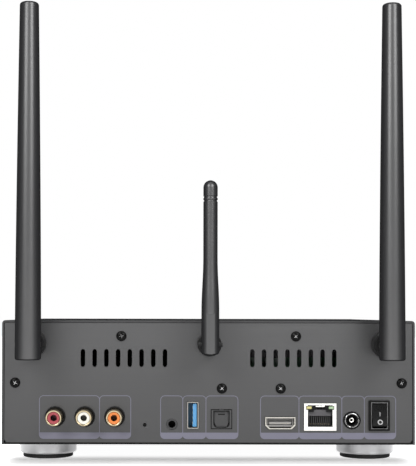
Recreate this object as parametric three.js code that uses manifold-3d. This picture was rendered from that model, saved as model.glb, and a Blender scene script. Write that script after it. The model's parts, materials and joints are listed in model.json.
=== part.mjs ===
// A desktop media player with a hard drive tray, in millimetres, +Z up.
// The front faces -Y and the connector panel faces +Y. The origin is on the surface that the
// four feet stand on, at the middle of the whole object's footprint.
//
// Every piece is its own mesh. Fixed pieces are drawn straight in the player's frame, and the
// screws, feet, sockets and antennas are drawn once in their own frames and then placed.

import * as THREE from "three";
import { mergeVertices } from "three/addons/utils/BufferGeometryUtils.js";
import Module from "manifold-3d";

// Overall body
const bodyWidth = 205;
const footHeight = 8.5;

// Room behind the drive cage, for the sockets on the rear panel
const rearSpace = 35.5;

// Shared fits
const fitGap = 0.3;
const seamGap = 0.2;
const overrun = 1;
const weldGap = 0.001;

// Sides of the round pieces, and degrees in radians
const roundSides = 16;
const smallSides = 12;
const footSides = 20;
const heelSides = 24;
const degree = Math.PI / 180;

// Folded cover
const coverWall = 1;
const coverCorner = 1.6;
const coverTabDepth = 1;
const topTabWidth = 16;
const topTabDrop = 12;
const sideTabHeight = 11;
const sideTabReach = 10.5;

// Base plate
const baseWall = 1;
const baseFlangeHeight = 9;
const bossRadius = 3;
const baseVentWidth = 3;
const baseVentLength = 26;
const baseVentPitch = 7;
const baseVentCount = 8;
const baseVentFromRear = 118;

// Rear panel. The shares place sockets across it, as shares of half the body's width, and are
// positive towards the right as seen from the front.
const panelWall = 1.2;
const panelInset = 0.5;
const panelCornerCut = 1.2;
const ventWidth = 2.25;
const ventLength = 9.1;
const ventPitch = 5.82;
const ventFirstX = 21.7;
const ventCount = 8;
const ventFromTop = 18.7;

// Front panel
const fasciaDepth = 8;
const fasciaBevel = 1.2;
const fasciaBossRadius = 2.5;
const fasciaBossLength = 4;

// Feet
const footRadius = 14.6;
const footTopRadius = 14.2;
const footEdge = 1.8;
const footLip = 1.4;
const footFromRear = 25;
const footFromFront = 27;
const footFromSide = 20.7;
const padRadius = 12.8;
const padReveal = 2.2;
const padSeat = 0.8;
const padEdge = 0.5;

// Rear screws
const screwHeadRadius = 2.55;
const screwHeadHeight = 1.5;
const screwFlank = 0.5;
const screwShankRadius = 1.4;
const screwShankLength = 3.6;
const screwHoleRadius = 1.7;
const screwSlotLength = 2.7;
const screwSlotWidth = 0.6;
const screwSlotDepth = 0.8;
const topScrewX = 43.4;
const topScrewFromTop = 7.8;
const sideScrewFromSide = 6.5;
const sideScrewZ = 39;
const earScrewShift = 0.2;
const earScrewZ = 36.3;

// Main board
const boardWall = 1.6;
const boardTop = 15.5;
const boardFromSide = 6.5;
const boardDepth = 78;
const boardFromPanel = 0.5;
const boardBossInset = 6;
const chipSide = 22;
const chipHeight = 2;
const chipX = 52;
const chipFromRear = 50;
const memorySide = 11;
const memoryHeight = 1.2;
const memoryPitch = 14;
const canRadius = 3.2;
const canHeight = 8;
const canPitch = 9;
const canFromEdge = 12;
const canFromRear = 34;
const coilSide = 7;
const coilHeight = 4;

// Heat sink
const sinkSide = 40;
const sinkBase = 3;
const sinkHeight = 14;
const finWall = 1.4;
const finCount = 9;

// Drive
const driveWidth = 101.6;
const driveLength = 147;
const driveHeight = 26.1;
const driveCorner = 3;
const driveLidInset = 3;
const driveLidRise = 0.7;
const driveBoardDrop = 2;
const driveBoardInset = 9;
const drivePlugWidth = 40;
const drivePlugHeight = 5;
const drivePlugDepth = 6;
const drivePlugFromSide = 28.8;

// Drive cage
const cageWall = 1;
const cageAboveCans = 2;
const cageFromTop = 9;
const cageSideGap = 0.4;
const cageRearHeight = 17;
const cageLegWidth = 14;
const cageLegFoot = 8;
const cageLegFromBoard = 7.8;
const cageLegFromFront = 30;
const cageWindowHeight = 16;
const cageWindowLength = 40;
const cageWindowGap = 8;
const cageWindowCount = 3;
const cageEarWidth = 12;
const cageEarRise = 9;
const cageEarDrop = 4.8;

// Drive backplane
const backplaneWall = 1.6;
const backplaneWidth = 64;
const backplaneFromSide = 6.3;
const backplaneHeight = 24;
const backplanePlugDepth = 5.1;
const backplanePlugWidth = 38;
const backplanePlugHeight = 4;
const backplaneHeaderSide = 8;
const backplaneHeaderDepth = 9;

// Sliding tray
const sledWall = 1.5;
const sledFloor = 1.2;
const sledSideHeight = 13;
const sledWindowWidth = 30;
const sledWindowCount = 3;
const sledRib = 12;
const sledLipHeight = 9;
const trayFrontLap = 2.4;
const trayFrontFromSide = 5.5;
const trayFrontAboveDrive = 9.4;
const trayFrontFromTop = 6.5;
const trayFrontDepth = 6;
const trayFrontBottom = 22.5;
const trayFrontCorner = 2;
const trayGap = 0.4;
const airWindowWidth = 20;
const airWindowHeight = 4.6;
const airWindowFromTop = 4.8;
const airWindowCorner = 1.5;
const leverHeight = 13.4;
const leverWall = 3;
const leverFromSide = 6.3;
const leverToLatch = 8.3;
const leverAboveLip = 9.7;
const leverPinRadius = 0.8;
const leverPinReach = 1.6;
const leverPinGap = 0.3;
const leverGripWidth = 9;
const leverGripDepth = 1.2;
const latchWidth = 11;
const latchHeight = 13.4;
const latchFromSide = 5;
const latchTravel = 1.5;
const latchStemRadius = 2.2;
const latchFlange = 1;
const latchFlangeReach = 1.2;
const latchSeat = 1.5;

// Front display and power button
const windowFromTray = 13;
const windowFromSide = 12.5;
const windowFromTop = 11;
const windowFromButton = 7.1;
const windowWall = 1.8;
const windowPocket = 2;
const windowLedge = 2;
const windowCorner = 2;
const frontBoardMargin = 5;
const frontBoardFromTop = 10;
const frontBoardFromBottom = 3.5;
const frontBoardBossInset = 4;
const buttonRadius = 5.4;
const buttonFromSide = 20.5;
const buttonZ = 22.5;
const buttonProud = 0.8;
const buttonFlange = 1.2;
const buttonFlangeReach = 1.3;
const buttonTravel = 0.9;
const buttonEdge = 0.6;
const buttonDish = 0.5;
const buttonRimDish = 0.125;
const tactSide = 6;

// Phono sockets
const phonoShares = [0.74244, 0.59902, 0.45463];
const phonoNames = ["red", "white", "orange"];
const phonoZ = 22.2;
const phonoBlockSide = 7;
const phonoBlockTop = 6.6;
const phonoBlockDepth = 12;
const phonoNoseRadius = 5;
const phonoNoseProud = 0.8;
const phonoSleeveRadius = 4.15;
const phonoSleeveBore = 3.1;
const phonoSleeveProud = 9;
const phonoSleeveSunk = 4;
const phonoSleeveEdge = 0.35;
const phonoInsertRadius = 3;
const phonoInsertHole = 1.55;
const phonoInsertDepth = 7;
const phonoInsertRecess = 0.5;

// Small jack and reset plunger
const irShare = 0.17756;
const irZ = 18.5;
const irHoleRadius = 1.85;
const irHoleDepth = 11;
const irNoseRadius = 2.65;
const irBodyWidth = 6.4;
const irBodyTop = 3;
const irBodyDepth = 13;
const resetShare = 0.30878;
const resetZ = 18.2;
const resetHoleRadius = 0.95;
const resetPinRadius = 0.7;
const resetPinLength = 3.2;
const resetPinSunk = 0.5;
const resetHousingWidth = 6;
const resetHousingTop = 2;
const resetHousingDepth = 5;
const resetHousingStart = 3.4;
const resetBoreRadius = 1;
const resetBoreDepth = 1.5;

// Upright data socket
const dataShare = 0.0761;
const dataZ = 23;
const dataWidth = 5.6;
const dataHeight = 13.2;
const dataWall = 0.4;
const dataProud = 0.6;
const dataShellDepth = 10;
const dataBlockDepth = 4;
const dataTongueWall = 1.9;
const dataTongueHeight = 11.4;
const dataTongueInset = 0.5;
const dataTongueSunk = 1;

// Optical socket
const opticalShare = -0.06244;
const opticalZ = 21.1;
const opticalWidth = 10.2;
const opticalHeight = 9.4;
const opticalProud = 0.4;
const opticalDepth = 11;
const opticalDoorWidth = 7.3;
const opticalDoorHeight = 7.6;
const opticalDoorCut = 1.1;
const opticalDoorCutRise = 2.2;
const opticalDoorWall = 0.8;
const opticalDoorSunk = 0.7;
const opticalCavityDepth = 9;
const opticalCavitySide = 0.4;
const opticalPinRadius = 0.4;
const opticalPinReach = 0.75;

// Video socket
const videoShare = -0.34732;
const videoZ = 19.2;
const videoWidth = 14.9;
const videoHeight = 5.9;
const videoCut = 1.8;
const videoWall = 0.45;
const videoProud = 0.8;
const videoShellDepth = 9;
const videoBlockDepth = 3;
const videoTongueWidth = 11.4;
const videoTongueWall = 1.1;
const videoTongueRise = 0.4;
const videoTongueSunk = 1.2;

// Network socket
const networkShare = -0.54049;
const networkWidth = 16;
const networkHeight = 13.5;
const networkProud = 0.6;
const networkDepth = 16;
const networkWall = 0.35;
const networkFaceWall = 0.4;
const networkWindowWidth = 12.3;
const networkWindowFloor = 1.9;
const networkWindowTop = 0.9;
const networkLampWidth = 3;
const networkLampHeight = 1.9;
const networkLampSide = 5.5;
const networkLampDrop = 2.2;
const networkPlugWidth = 11.8;
const networkPlugHeight = 7.2;
const networkPlugFloor = 2;
const networkPlugDepth = 12;
const networkLatchWidth = 6.2;
const networkLatchHeight = 1.6;
const networkKeyWidth = 3.4;
const networkKeyHeight = 1.4;

// Power inlet
const inletShare = -0.69463;
const inletZ = 20.6;
const inletBlockWidth = 9;
const inletBlockTop = 5;
const inletBlockDepth = 14;
const inletNoseRadius = 4.3;
const inletNoseProud = 0.3;
const inletBarrelRadius = 3.65;
const inletBarrelBore = 3;
const inletBarrelProud = 0.7;
const inletBarrelDepth = 10;
const inletBarrelFloor = 1;
const inletPinRadius = 1;
const inletPinSunk = 0.8;

// Rocker switch
const switchShare = -0.82634;
const switchZ = 23;
const bezelWidth = 10.4;
const bezelHeight = 15;
const bezelProud = 1.5;
const bezelCorner = 0.8;
const switchBodyWidth = 8.6;
const switchBodyHeight = 13.2;
const switchBodyDepth = 13;
const rockerWidth = 7;
const rockerHalf = 5.4;
const rockerRise = 2.2;
const rockerTiltDegrees = 8;
const rockerHeelDepth = 3;
const rockerHeelHalf = 2.6;
const rockerPivotSunk = 1.1;
const rockerPinRadius = 0.7;
const rockerPinReach = 0.7;
const rockerEndGap = 0.1;
const switchCavityDepth = 6;

// Antenna joints shared by all three
const antennaFromTop = 11.6;
const jackRadius = 3.15;
const jackLength = 9.5;
const jackFlangeRadius = 4.6;
const jackFlange = 2;
const jackHoleRadius = 3.3;
const nutAcross = 8;
const nutHeight = 2.2;
const collarGap = 0.3;
const collarEnd = 0.5;
const knuckleWall = 1.8;
const sweepGap = 0.6;

// Side antennas
const sideAntennaFromSide = 15.1;
const sideAntenna = {
  top: 164.6,
  drop: 7.6,
  lowerRadius: 6.3,
  upperRadius: 4.6,
  bendShare: 1.45,
  crown: 1.4,
  dome: 0.5,
  heel: 0.7,
  collarRadius: 7,
  tongueRadius: 4.4,
  tongueWall: 5,
  pinRadius: 1.5,
  pinHalf: 6.1,
};

// Centre antenna
const centreAntenna = {
  top: 79.1,
  drop: 4.8,
  shaftRadius: 3.45,
  baseRadius: 4.3,
  flareTop: 41.8,
  flareBottom: 15.8,
  dome: 0.4,
  heel: 0.4,
  grooveDepth: 0.35,
  grooveWidth: 0.9,
  grooveHeights: [69.2, 71],
  facetDepth: 3.9,
  facetTop: 14.8,
  collarRadius: 5.8,
  tongueRadius: 3.1,
  tongueWall: 3,
  pinRadius: 1.1,
  pinHalf: 5.9,
};
const slotGap = 0.4;
const pinGap = 0.3;

// Worked out from the sizes above
const backplaneReach = fitGap + backplanePlugDepth + backplaneWall + cageWall;
const bodyDepth = fasciaDepth + latchTravel + driveLength + backplaneReach + rearSpace;
const rearY = bodyDepth / 2;
const frontY = -bodyDepth / 2;
const panelY = rearY - panelInset;
const panelBackY = panelY - panelWall;
const fasciaBackY = frontY + fasciaDepth;
const bodyBottom = footHeight;
const cageFloor = boardTop + canHeight + cageAboveCans;
const cageFloorTop = cageFloor + cageWall;
const sledBottom = cageFloorTop + fitGap;
const driveBottom = sledBottom + sledFloor;
const driveTop = driveBottom + driveHeight;
const trayFrontTop = driveTop + trayFrontAboveDrive;
const bodyTop = trayFrontTop + trayFrontFromTop;
const baseTop = bodyBottom + baseWall;
const antennaZ = bodyTop - antennaFromTop;
const topScrewZ = bodyTop - topScrewFromTop;
const ventHeight = bodyTop - ventFromTop;
const cageTop = bodyTop - coverWall - cageFromTop;
const windowLow = buttonZ + buttonRadius + windowFromButton;
const windowHigh = bodyTop - windowFromTop;
const frontBoardLow = bodyBottom + frontBoardFromBottom;
const frontBoardHigh = bodyTop - frontBoardFromTop;
const boardBottom = boardTop - boardWall;
const halfWidth = bodyWidth / 2;
const innerHalf = halfWidth - coverWall - seamGap;
const boardWidth = bodyWidth - 2 * boardFromSide;
const canX = canFromEdge - boardWidth / 2;
const footFromMiddle = halfWidth - footFromSide;
const sideScrewX = halfWidth - sideScrewFromSide;
const sideAntennaX = halfWidth - sideAntennaFromSide;
const phonoX = phonoShares.map((share) => share * halfWidth);
const irX = irShare * halfWidth;
const resetX = resetShare * halfWidth;
const dataX = dataShare * halfWidth;
const opticalX = opticalShare * halfWidth;
const videoX = videoShare * halfWidth;
const networkX = networkShare * halfWidth;
const inletX = inletShare * halfWidth;
const switchX = switchShare * halfWidth;
const earScrewX = [opticalX - earScrewShift, videoX - earScrewShift];
const sledHalf = driveWidth / 2 + fitGap + sledWall;
const cageHalf = sledHalf + cageSideGap + cageWall;
const trayFrontWidth = 2 * (sledHalf + trayFrontLap);
const cageCentreX = trayFrontFromSide + trayFrontWidth / 2 - halfWidth;
const trayFrontLeft = cageCentreX - trayFrontWidth / 2;
const trayFrontRight = cageCentreX + trayFrontWidth / 2;
const airWindowZ = trayFrontTop - airWindowFromTop;
const latchX = trayFrontRight - latchFromSide - latchWidth / 2;
const leverStart = trayFrontLeft + leverFromSide;
const leverEnd = latchX - latchWidth / 2 - leverToLatch;
const leverLength = leverEnd - leverStart;
const leverX = (leverStart + leverEnd) / 2;
const windowLeft = trayFrontRight + windowFromTray;
const windowRight = halfWidth - windowFromSide;
const windowWidth = windowRight - windowLeft;
const windowX = (windowLeft + windowRight) / 2;
const frontBoardWidth = windowWidth + 2 * frontBoardMargin;
const buttonX = halfWidth - buttonFromSide;
const leverZ = sledBottom + sledLipHeight + leverAboveLip;
const driveFrontY = fasciaBackY + latchTravel;
const driveRearY = driveFrontY + driveLength;
const backplaneY = driveRearY + fitGap + backplanePlugDepth;
const cageRearY = backplaneY + backplaneWall + cageWall;
const trayBackY = frontY + trayFrontDepth;
const buttonReach = frontY - buttonProud;
const knuckleReach = knuckleWall + sweepGap + sideAntenna.drop;
const hingeReach = jackLength + collarEnd + knuckleReach;
const antennaReach = panelY + hingeReach + sideAntenna.lowerRadius;
const centreY = (antennaReach + buttonReach) / 2;

// Finishes
const finish = (color, roughness, metalness) =>
  new THREE.MeshStandardMaterial({ color, roughness, metalness });
const darkPaint = finish(0x3c3c3e, 0.5, 0.4);
const greyPaint = finish(0x5e5e60, 0.45, 0.4);
const blackAluminium = finish(0x2a2b2d, 0.35, 0.8);
const polishedSteel = finish(0xb9bbbd, 0.18, 1);
const blackRubber = finish(0x151515, 0.9, 0);
const blackScrew = finish(0x1c1c1d, 0.35, 0.7);
const greenBoard = finish(0x1f4a33, 0.6, 0);
const paleAluminium = finish(0x9da0a3, 0.4, 0.9);
const zincSteel = finish(0x8f9396, 0.4, 0.9);
const castAluminium = finish(0x77797c, 0.45, 0.8);
const blackPlastic = finish(0x1b1b1c, 0.5, 0);
const antennaPlastic = finish(0x464648, 0.6, 0);
const goldPlate = finish(0xc9a25a, 0.25, 1);
const nickelPlate = finish(0xc4c4c2, 0.25, 1);
const bluePlastic = finish(0x2b76c4, 0.45, 0);
const redPlastic = finish(0xa02c2c, 0.5, 0);
const whitePlastic = finish(0xd8d4c8, 0.5, 0);
const orangePlastic = finish(0xd98a3a, 0.5, 0);
const smokedWindow = finish(0x0d0e10, 0.08, 0);
const phonoPlastics = [redPlastic, whitePlastic, orangePlastic];

// Joining and cutting
const wasm = await Module();
wasm.setup();

function solidFrom(geometry) {
  const bare = geometry.clone();
  bare.deleteAttribute("normal");
  bare.deleteAttribute("uv");
  const merged = mergeVertices(bare, weldGap);
  const vertProperties = new Float32Array(merged.getAttribute("position").array);
  const triVerts = new Uint32Array(merged.getIndex().array);
  return new wasm.Manifold(new wasm.Mesh({ numProp: 3, vertProperties, triVerts }));
}

function geometryFrom(solid) {
  const mesh = solid.getMesh();
  const geometry = new THREE.BufferGeometry();
  const positions = new Float32Array(mesh.vertProperties);
  geometry.setAttribute("position", new THREE.BufferAttribute(positions, 3));
  geometry.setIndex(new THREE.BufferAttribute(new Uint32Array(mesh.triVerts), 1));
  const faceted = geometry.toNonIndexed();
  faceted.computeVertexNormals();
  return faceted;
}

const join = (...solids) => solids.reduce((whole, next) => whole.add(next));
const cut = (whole, ...tools) => tools.reduce((left, tool) => left.subtract(tool), whole);

function piece(name, solid, material, parent) {
  const mesh = new THREE.Mesh(geometryFrom(solid), material);
  mesh.name = name;
  parent.add(mesh);
  return mesh;
}

// Outlines, as lists of points that run anticlockwise
function arc(centreU, centreV, radius, from, to, steps) {
  const points = [];
  for (let step = 0; step <= steps; step += 1) {
    const angle = from + ((to - from) * step) / steps;
    const u = centreU + radius * Math.cos(angle);
    const v = centreV + radius * Math.sin(angle);
    points.push(new THREE.Vector2(u, v));
  }
  return points;
}

function circle(centreU, centreV, radius, steps = roundSides) {
  return arc(centreU, centreV, radius, 0, 2 * Math.PI, steps).slice(0, steps);
}

function rectangle(u0, u1, v0, v1) {
  const corners = [[u0, v0], [u1, v0], [u1, v1], [u0, v1]];
  return corners.map(([u, v]) => new THREE.Vector2(u, v));
}

function roundedRectangle(u0, u1, v0, v1, radius, steps = 3) {
  const quarter = Math.PI / 2;
  return [
    ...arc(u1 - radius, v0 + radius, radius, -quarter, 0, steps),
    ...arc(u1 - radius, v1 - radius, radius, 0, quarter, steps),
    ...arc(u0 + radius, v1 - radius, radius, quarter, 2 * quarter, steps),
    ...arc(u0 + radius, v0 + radius, radius, 2 * quarter, 3 * quarter, steps),
  ];
}

function uprightSlot(centreU, centreV, width, height, steps = 3) {
  const radius = width / 2;
  const reach = height / 2 - radius;
  return [
    ...arc(centreU, centreV + reach, radius, 0, Math.PI, steps),
    ...arc(centreU, centreV - reach, radius, Math.PI, 2 * Math.PI, steps),
  ];
}

function extruded(outline, holes, depth) {
  const shape = new THREE.Shape(outline);
  for (const hole of holes) shape.holes.push(new THREE.Path(hole));
  return new THREE.ExtrudeGeometry(shape, { depth, bevelEnabled: false });
}

// A plate whose outline is drawn in X and Z, between two depths
function plateAcross(outline, y0, y1, holes = []) {
  const geometry = extruded(outline, holes, y1 - y0);
  geometry.rotateX(Math.PI / 2);
  geometry.translate(0, y1, 0);
  return solidFrom(geometry);
}

// A plate whose outline is drawn in X and Y, between two heights
function plateFlat(outline, z0, z1, holes = []) {
  const geometry = extruded(outline, holes, z1 - z0);
  geometry.translate(0, 0, z0);
  return solidFrom(geometry);
}

// A plate whose outline is drawn in Y and Z, between two places along X
function plateAlong(outline, x0, x1) {
  const geometry = extruded(outline, [], x1 - x0);
  geometry.rotateY(Math.PI / 2);
  geometry.rotateX(Math.PI / 2);
  geometry.translate(x0, 0, 0);
  return solidFrom(geometry);
}

function block(x0, x1, y0, y1, z0, z1) {
  const geometry = new THREE.BoxGeometry(x1 - x0, y1 - y0, z1 - z0);
  geometry.translate((x0 + x1) / 2, (y0 + y1) / 2, (z0 + z1) / 2);
  return solidFrom(geometry);
}

function rodAcross(radius, y, z, x0, x1, sides = smallSides) {
  const geometry = new THREE.CylinderGeometry(radius, radius, x1 - x0, sides);
  geometry.rotateZ(Math.PI / 2);
  geometry.translate((x0 + x1) / 2, y, z);
  return solidFrom(geometry);
}

function rodBack(radius, x, z, y0, y1, sides = roundSides) {
  const geometry = new THREE.CylinderGeometry(radius, radius, y1 - y0, sides);
  geometry.translate(x, (y0 + y1) / 2, z);
  return solidFrom(geometry);
}

function rodUp(radius, x, y, z0, z1, sides = roundSides) {
  const geometry = new THREE.CylinderGeometry(radius, radius, z1 - z0, sides);
  geometry.rotateX(Math.PI / 2);
  geometry.translate(x, y, (z0 + z1) / 2);
  return solidFrom(geometry);
}

// A turned piece about +Y, from a profile of [radius, y] points that ends on the axis
function turned(profile, sides = roundSides) {
  const points = profile.map(([radius, y]) => new THREE.Vector2(radius, y));
  return solidFrom(new THREE.LatheGeometry(points, sides));
}

// The same, stood up so that its axis is +Z
function turnedUp(profile, sides = roundSides) {
  const points = profile.map(([radius, y]) => new THREE.Vector2(radius, y));
  const geometry = new THREE.LatheGeometry(points, sides);
  geometry.rotateX(Math.PI / 2);
  return solidFrom(geometry);
}

// Casing

function makeCover() {
  const outerCorner = coverCorner;
  const innerCorner = coverCorner - coverWall;
  const quarter = Math.PI / 2;
  const steps = 4;
  const innerSide = halfWidth - coverWall;
  const innerTop = bodyTop - coverWall;
  const outline = [
    new THREE.Vector2(innerSide, bodyBottom),
    new THREE.Vector2(halfWidth, bodyBottom),
    ...arc(halfWidth - outerCorner, bodyTop - outerCorner, outerCorner, 0, quarter, steps),
    ...arc(outerCorner - halfWidth, bodyTop - outerCorner, outerCorner, quarter, 2 * quarter, steps),
    new THREE.Vector2(-halfWidth, bodyBottom),
    new THREE.Vector2(-innerSide, bodyBottom),
    ...arc(innerCorner - innerSide, innerTop - innerCorner, innerCorner, 2 * quarter, quarter, steps),
    ...arc(innerSide - innerCorner, innerTop - innerCorner, innerCorner, quarter, 0, steps),
  ];
  let cover = plateAcross(outline, fasciaBackY, rearY);
  const tabFront = panelBackY - coverTabDepth;
  const tabBury = coverWall / 2;
  for (const side of [-1, 1]) {
    const middle = side * topScrewX;
    const left = middle - topTabWidth / 2;
    const right = middle + topTabWidth / 2;
    const low = bodyTop - topTabDrop;
    const topTab = block(left, right, tabFront, panelBackY, low, bodyTop - tabBury);
    const wallX = side * (halfWidth - tabBury);
    const reachX = side * (halfWidth - coverWall - sideTabReach);
    const x0 = Math.min(wallX, reachX);
    const x1 = Math.max(wallX, reachX);
    const tabLow = sideScrewZ - sideTabHeight / 2;
    const tabHigh = sideScrewZ + sideTabHeight / 2;
    const sideTab = block(x0, x1, tabFront, panelBackY, tabLow, tabHigh);
    const holeFront = tabFront - overrun;
    const holeBack = panelBackY + overrun;
    const topHole = rodBack(screwHoleRadius, middle, topScrewZ, holeFront, holeBack, smallSides);
    const sideX = side * sideScrewX;
    const sideHole = rodBack(screwHoleRadius, sideX, sideScrewZ, holeFront, holeBack, smallSides);
    cover = cut(join(cover, topTab, sideTab), topHole, sideHole);
  }
  return cover;
}

function makeBase() {
  const vents = [];
  const span = (baseVentCount - 1) * baseVentPitch;
  const ventY = rearY - baseVentFromRear;
  for (let index = 0; index < baseVentCount; index += 1) {
    const x = cageCentreX - span / 2 + index * baseVentPitch;
    vents.push(uprightSlot(x, ventY, baseVentWidth, baseVentLength, 3));
  }
  const floor = rectangle(-innerHalf, innerHalf, fasciaBackY, panelY);
  let base = plateFlat(floor, bodyBottom, baseTop, vents);
  const flangeTop = bodyBottom + baseFlangeHeight;
  for (const side of [-1, 1]) {
    const x0 = side > 0 ? innerHalf - baseWall : -innerHalf;
    const flange = block(x0, x0 + baseWall, fasciaBackY, panelBackY, bodyBottom, flangeTop);
    base = join(base, flange);
  }
  const bossX = boardWidth / 2 - boardBossInset;
  const bossBack = panelBackY - boardFromPanel - boardBossInset;
  const bossFront = panelBackY - boardFromPanel - boardDepth + boardBossInset;
  for (const x of [-bossX, bossX]) {
    for (const y of [bossFront, bossBack]) {
      base = join(base, rodUp(bossRadius, x, y, bodyBottom, boardBottom, smallSides));
    }
  }
  return base;
}

function makeRearPanel() {
  const edge = innerHalf;
  const low = baseTop;
  const high = bodyTop - coverWall - seamGap;
  const outline = [
    new THREE.Vector2(panelCornerCut - edge, low),
    new THREE.Vector2(edge - panelCornerCut, low),
    new THREE.Vector2(edge, low + panelCornerCut),
    new THREE.Vector2(edge, high),
    new THREE.Vector2(-edge, high),
    new THREE.Vector2(-edge, low + panelCornerCut),
  ];
  const holes = [];
  for (const side of [-1, 1]) {
    for (let index = 0; index < ventCount; index += 1) {
      const x = side * (ventFirstX + index * ventPitch);
      holes.push(uprightSlot(x, ventHeight, ventWidth, ventLength));
    }
    holes.push(circle(side * topScrewX, topScrewZ, screwHoleRadius, smallSides));
    holes.push(circle(side * sideScrewX, sideScrewZ, screwHoleRadius, smallSides));
  }
  for (const x of earScrewX) holes.push(circle(x, earScrewZ, screwHoleRadius, smallSides));
  for (const x of [-sideAntennaX, 0, sideAntennaX]) {
    holes.push(circle(x, antennaZ, jackHoleRadius));
  }
  for (const x of phonoX) holes.push(circle(x, phonoZ, phonoNoseRadius + seamGap));
  holes.push(circle(irX, irZ, irNoseRadius + seamGap));
  holes.push(circle(resetX, resetZ, resetHoleRadius, smallSides));
  holes.push(windowAround(dataX, dataWidth, dataZ, dataHeight));
  holes.push(windowAround(opticalX, opticalWidth, opticalZ, opticalHeight));
  holes.push(videoOutline(seamGap));
  holes.push(windowAround(networkX, networkWidth, boardTop + networkHeight / 2, networkHeight));
  holes.push(circle(inletX, inletZ, inletNoseRadius + seamGap));
  holes.push(windowAround(switchX, switchBodyWidth, switchZ, switchBodyHeight));
  const front = panelBackY - overrun;
  const back = panelY + overrun;
  const tools = holes.map((hole) => plateAcross(hole, front, back));
  return cut(plateAcross(outline, panelBackY, panelY), ...tools);
}

function windowAround(x, width, z, height) {
  const halfX = width / 2 + seamGap;
  const halfZ = height / 2 + seamGap;
  return rectangle(x - halfX, x + halfX, z - halfZ, z + halfZ);
}

function makeFascia() {
  const shape = new THREE.Shape(rectangle(-halfWidth, halfWidth, bodyBottom, bodyTop));
  const bevelled = new THREE.ExtrudeGeometry(shape, {
    depth: fasciaDepth - fasciaBevel + overrun,
    bevelThickness: fasciaBevel,
    bevelSize: fasciaBevel,
    bevelOffset: -fasciaBevel,
    bevelSegments: 3,
  });
  bevelled.rotateX(Math.PI / 2);
  bevelled.translate(0, fasciaBackY + overrun, 0);
  const trayLow = trayFrontBottom - trayGap;
  const trayHigh = trayFrontTop + trayGap;
  const trayLeft = cageCentreX - trayFrontWidth / 2 - trayGap;
  const trayRight = cageCentreX + trayFrontWidth / 2 + trayGap;
  const trayHole = roundedRectangle(trayLeft, trayRight, trayLow, trayHigh, trayFrontCorner);
  const windowHole = roundedRectangle(
    windowX - windowWidth / 2 + windowLedge,
    windowX + windowWidth / 2 - windowLedge,
    windowLow + windowLedge,
    windowHigh - windowLedge,
    windowCorner,
  );
  const buttonHole = circle(buttonX, buttonZ, buttonRadius + fitGap);
  const holes = [trayHole, windowHole, buttonHole];
  const wall = rectangle(-bodyWidth, bodyWidth, 0, bodyTop + footHeight);
  const slab = plateAcross(wall, frontY - overrun, fasciaBackY, holes);
  const pocket = plateAcross(
    roundedRectangle(
      windowX - windowWidth / 2,
      windowX + windowWidth / 2,
      windowLow,
      windowHigh,
      windowCorner,
    ),
    frontY - overrun,
    frontY + windowPocket,
  );
  let fascia = cut(solidFrom(bevelled).intersect(slab), pocket);
  const bossX = frontBoardWidth / 2 - frontBoardBossInset;
  const bossEnd = fasciaBackY + fasciaBossLength;
  for (const x of [windowX - bossX, windowX + bossX]) {
    for (const z of [frontBoardLow + frontBoardBossInset, frontBoardHigh - frontBoardBossInset]) {
      const boss = rodBack(fasciaBossRadius, x, z, fasciaBackY - overrun, bossEnd, smallSides);
      fascia = join(fascia, boss);
    }
  }
  return fascia;
}

// Feet and screws

function makeFoot() {
  const seat = padReveal + padSeat;
  const recess = padRadius + seamGap;
  const edgeSteps = 3;
  const lowerEdge = arc(
    footRadius - footEdge,
    padReveal + footEdge,
    footEdge,
    -Math.PI / 2,
    0,
    edgeSteps,
  ).map((point) => [point.x, point.y]);
  return turnedUp([
    [0, seat],
    [recess, seat],
    [recess, padReveal],
    ...lowerEdge,
    [footRadius, footHeight - footLip],
    [footTopRadius, footHeight],
    [0, footHeight],
  ], footSides);
}

function makePad() {
  const top = padReveal + padSeat;
  return turnedUp([
    [0, 0],
    [padRadius - padEdge, 0],
    [padRadius, padEdge],
    [padRadius, top],
    [0, top],
  ]);
}

function makeScrew() {
  const rise = screwHeadHeight;
  const rim = screwHeadRadius;
  const crown = arc(0, 0, 1, 0, Math.PI / 2, 2);
  const flank = screwFlank;
  const dome = crown.map((point) => [rim * point.x, flank + (rise - flank) * point.y]);
  const head = turned([
    [0, -screwShankLength],
    [screwShankRadius, -screwShankLength],
    [screwShankRadius, 0],
    [rim, 0],
    ...dome.slice(0, -1),
    [0, rise],
  ], smallSides);
  const half = screwSlotLength / 2;
  const narrow = screwSlotWidth / 2;
  const floor = rise - screwSlotDepth;
  const across = block(-half, half, floor, rise + overrun, -narrow, narrow);
  const upright = block(-narrow, narrow, floor, rise + overrun, -half, half);
  return cut(head, across, upright);
}

// Boards and cooling

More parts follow.
